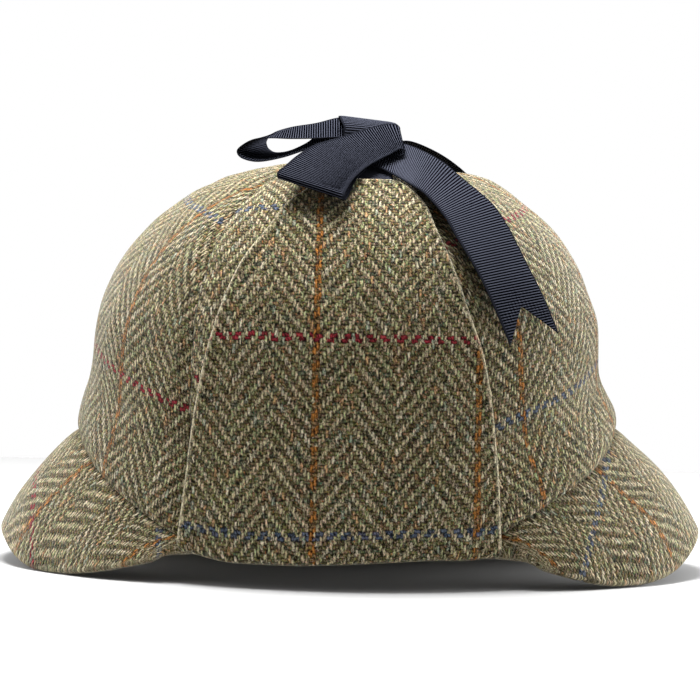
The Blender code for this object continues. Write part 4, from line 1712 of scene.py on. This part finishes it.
@dataclass
class Studio:
    """Plain pale floor, soft lights and the camera.

    Attributes:
        floor_size: Side of the floor, in metres.
        white: Brightness of the floor.
        near_light, far_light: Strength of the light from the left side and from elsewhere.
        fade: Y of a ray's way where the first ends and where the second is full.
        lamps, aim: The lamps, and the height that they are turned to, in metres.
        distance: The camera's distance from the hat's middle, in metres.
        eye: The camera's height, in metres.
        lens: Its focal length on a 36 mm sensor, in mm.
        roll: How far the picture leans clockwise, in degrees.
    """

    floor_size: float = 1.2
    white: float = 0.48
    near_light: float = 0.06
    far_light: float = 1.0
    fade: tuple[float, float] = (-0.95, -0.15)
    lamps: tuple[Lamp, ...] = (
        Lamp("top_light", (-0.05, -0.03, 0.58), size=0.32, power=8.8),
        Lamp("left_light", (-1.25, 0.42, 0.22), size=0.4, power=16.5),
        Lamp("right_light", (1.25, 0.42, 0.22), size=0.4, power=30.0),
    )
    aim: float = 0.08
    distance: float = 0.700
    eye: float = 0.085
    lens: float = 90.0
    roll: float = 1.25

    def floor(self) -> None:
        """Lay the floor."""
        slab = bmesh.new()
        bmesh.ops.create_grid(slab, x_segments=1, y_segments=1, size=self.floor_size / 2.0)
        mesh = bpy.data.meshes.new("floor")
        slab.to_mesh(mesh)
        slab.free()
        floor = bpy.data.objects.new("floor", mesh)
        bpy.context.scene.collection.objects.link(floor)
        material = bpy.data.materials.new("pale_floor")
        material.use_nodes = True
        shader = material.node_tree.nodes["Principled BSDF"]
        shader.inputs["Base Color"].default_value = (self.white, self.white, self.white, 1.0)
        shader.inputs["Roughness"].default_value = 0.9
        mesh.materials.append(material)

    def sky(self) -> None:
        """Surround the hat with a white backdrop whose light is weaker on the left side."""
        world = bpy.data.worlds.new("studio")
        world.use_nodes = True
        tree = world.node_tree
        way = tree.nodes.new("ShaderNodeTexCoord")
        parts = tree.nodes.new("ShaderNodeSeparateXYZ")
        ramp = tree.nodes.new("ShaderNodeMapRange")
        ramp.interpolation_type = "SMOOTHSTEP"
        limits = (*self.fade, self.near_light, self.far_light)
        for name, limit in zip(("From Min", "From Max", "To Min", "To Max"), limits):
            ramp.inputs[name].default_value = limit
        seen = tree.nodes.new("ShaderNodeLightPath")
        strength = tree.nodes.new("ShaderNodeMath")
        strength.operation = "MAXIMUM"
        tree.links.new(way.outputs["Generated"], parts.inputs[0])
        tree.links.new(parts.outputs["Y"], ramp.inputs["Value"])
        tree.links.new(ramp.outputs[0], strength.inputs[0])
        tree.links.new(seen.outputs["Is Camera Ray"], strength.inputs[1])
        tree.links.new(strength.outputs[0], tree.nodes["Background"].inputs["Strength"])
        tree.nodes["Background"].inputs["Color"].default_value = (1.0, 1.0, 1.0, 1.0)
        bpy.context.scene.world = world
        bpy.context.scene.view_settings.view_transform = "Standard"

    def camera(self) -> None:
        """Set up the camera at the side, level with the crown."""
        eye = bpy.data.cameras.new("side_view")
        eye.lens = self.lens
        eye.sensor_width = 36.0
        camera = bpy.data.objects.new("side_view", eye)
        camera.location = (0.0, -self.distance, self.eye)
        camera.rotation_euler = (math.radians(90.0), math.radians(-self.roll), 0.0)
        bpy.context.scene.collection.objects.link(camera)
        bpy.context.scene.camera = camera

    def build(self) -> None:
        """Set up floor, lights and camera."""
        self.floor()
        self.sky()
        for lamp in self.lamps:
            lamp.hang(self.aim)
        self.camera()


FRONT_EDGE: Table = (
    (0.0, 13.6), (10.0, 12.6), (20.0, 10.2), (25.0, 8.6), (31.0, 5.8), (38.0, 2.9),
    (46.0, 0.7), (51.0, 0.4), (57.0, 0.8), (62.0, 1.7), (66.6, 3.2), (70.0, 5.1),
    (73.0, 7.2), (75.0, 9.2), (78.0, 10.8),
)
BACK_EDGE: Table = (
    (0.0, 17.0), (10.0, 16.2), (20.0, 13.8), (27.0, 11.0), (33.5, 7.8), (40.0, 4.8),
    (48.0, 2.3), (56.5, 0.9), (62.0, 1.1), (66.0, 2.0), (69.6, 3.7), (72.3, 5.8),
    (74.7, 8.3), (76.5, 10.4), (78.5, 11.4),
)
FLAP_ROOT: Table = (
    (0.0, -59.0, 54.3, 0.0), (20.0, -57.2, 53.4, 0.0), (45.0, -54.7, 51.2, 0.0),
    (67.0, -51.0, 47.6, 0.0),
)
LEFT_FLAP: Table = (
    *FLAP_ROOT, (87.0, -45.4, 40.8, 0.0), (104.0, -38.3, 34.9, 0.0),
    (117.0, -29.8, 29.8, 0.0), (128.0, -23.8, 26.2, 0.0), (135.0, -17.5, 22.0, 0.0),
    (140.0, -10.5, 18.0, 0.0), (143.0, -4.0, 12.0, 0.0),
)
RIGHT_FLAP: Table = (
    *FLAP_ROOT, (87.0, -46.0, 41.5, 0.0), (104.0, -41.0, 37.0, 0.0),
    (125.0, -37.0, 33.0, 0.0), (150.0, -32.0, 28.0, 0.2), (170.0, -28.0, 24.0, 0.8),
    (180.0, -22.0, 18.0, 1.2), (184.0, -14.0, 10.0, 1.4),
)


def main() -> None:
    """Build the hat, then its studio."""
    logging.basicConfig(level=logging.INFO, format="%(name)s %(message)s")
    form = CrownForm()
    tweed = Tweed()
    Crown(form).build(tweed, Lining())
    Peak(
        "front_bill", End.FRONT, seam_angle=62.0, edge_angle=78.5, form=form,
        check=Check(warp=37.3, weft=154.0), edge_rows=FRONT_EDGE, tip=137.8, plan_square=1.95,
        grain=(1.33, 0.19),
    ).build(tweed)
    Peak(
        "back_bill", End.BACK, seam_angle=62.0, edge_angle=79.0, form=form,
        check=Check(warp=-46.2, weft=21.7), edge_rows=BACK_EDGE, tip=140.6, plan_square=2.0,
        grain=(1.10, 0.385),
    ).build(tweed)
    left_check, right_check = Check(warp=-12.7, weft=74.2), Check(warp=16.0, weft=82.0)
    EarFlap("left_ear_flap", Side.LEFT, form, LEFT_FLAP, left_check).build(tweed)
    EarFlap("right_ear_flap", Side.RIGHT, form, RIGHT_FLAP, right_check).build(tweed)
    Bow(form).build()
    Studio().build()


if __name__ == "__main__":
    main()
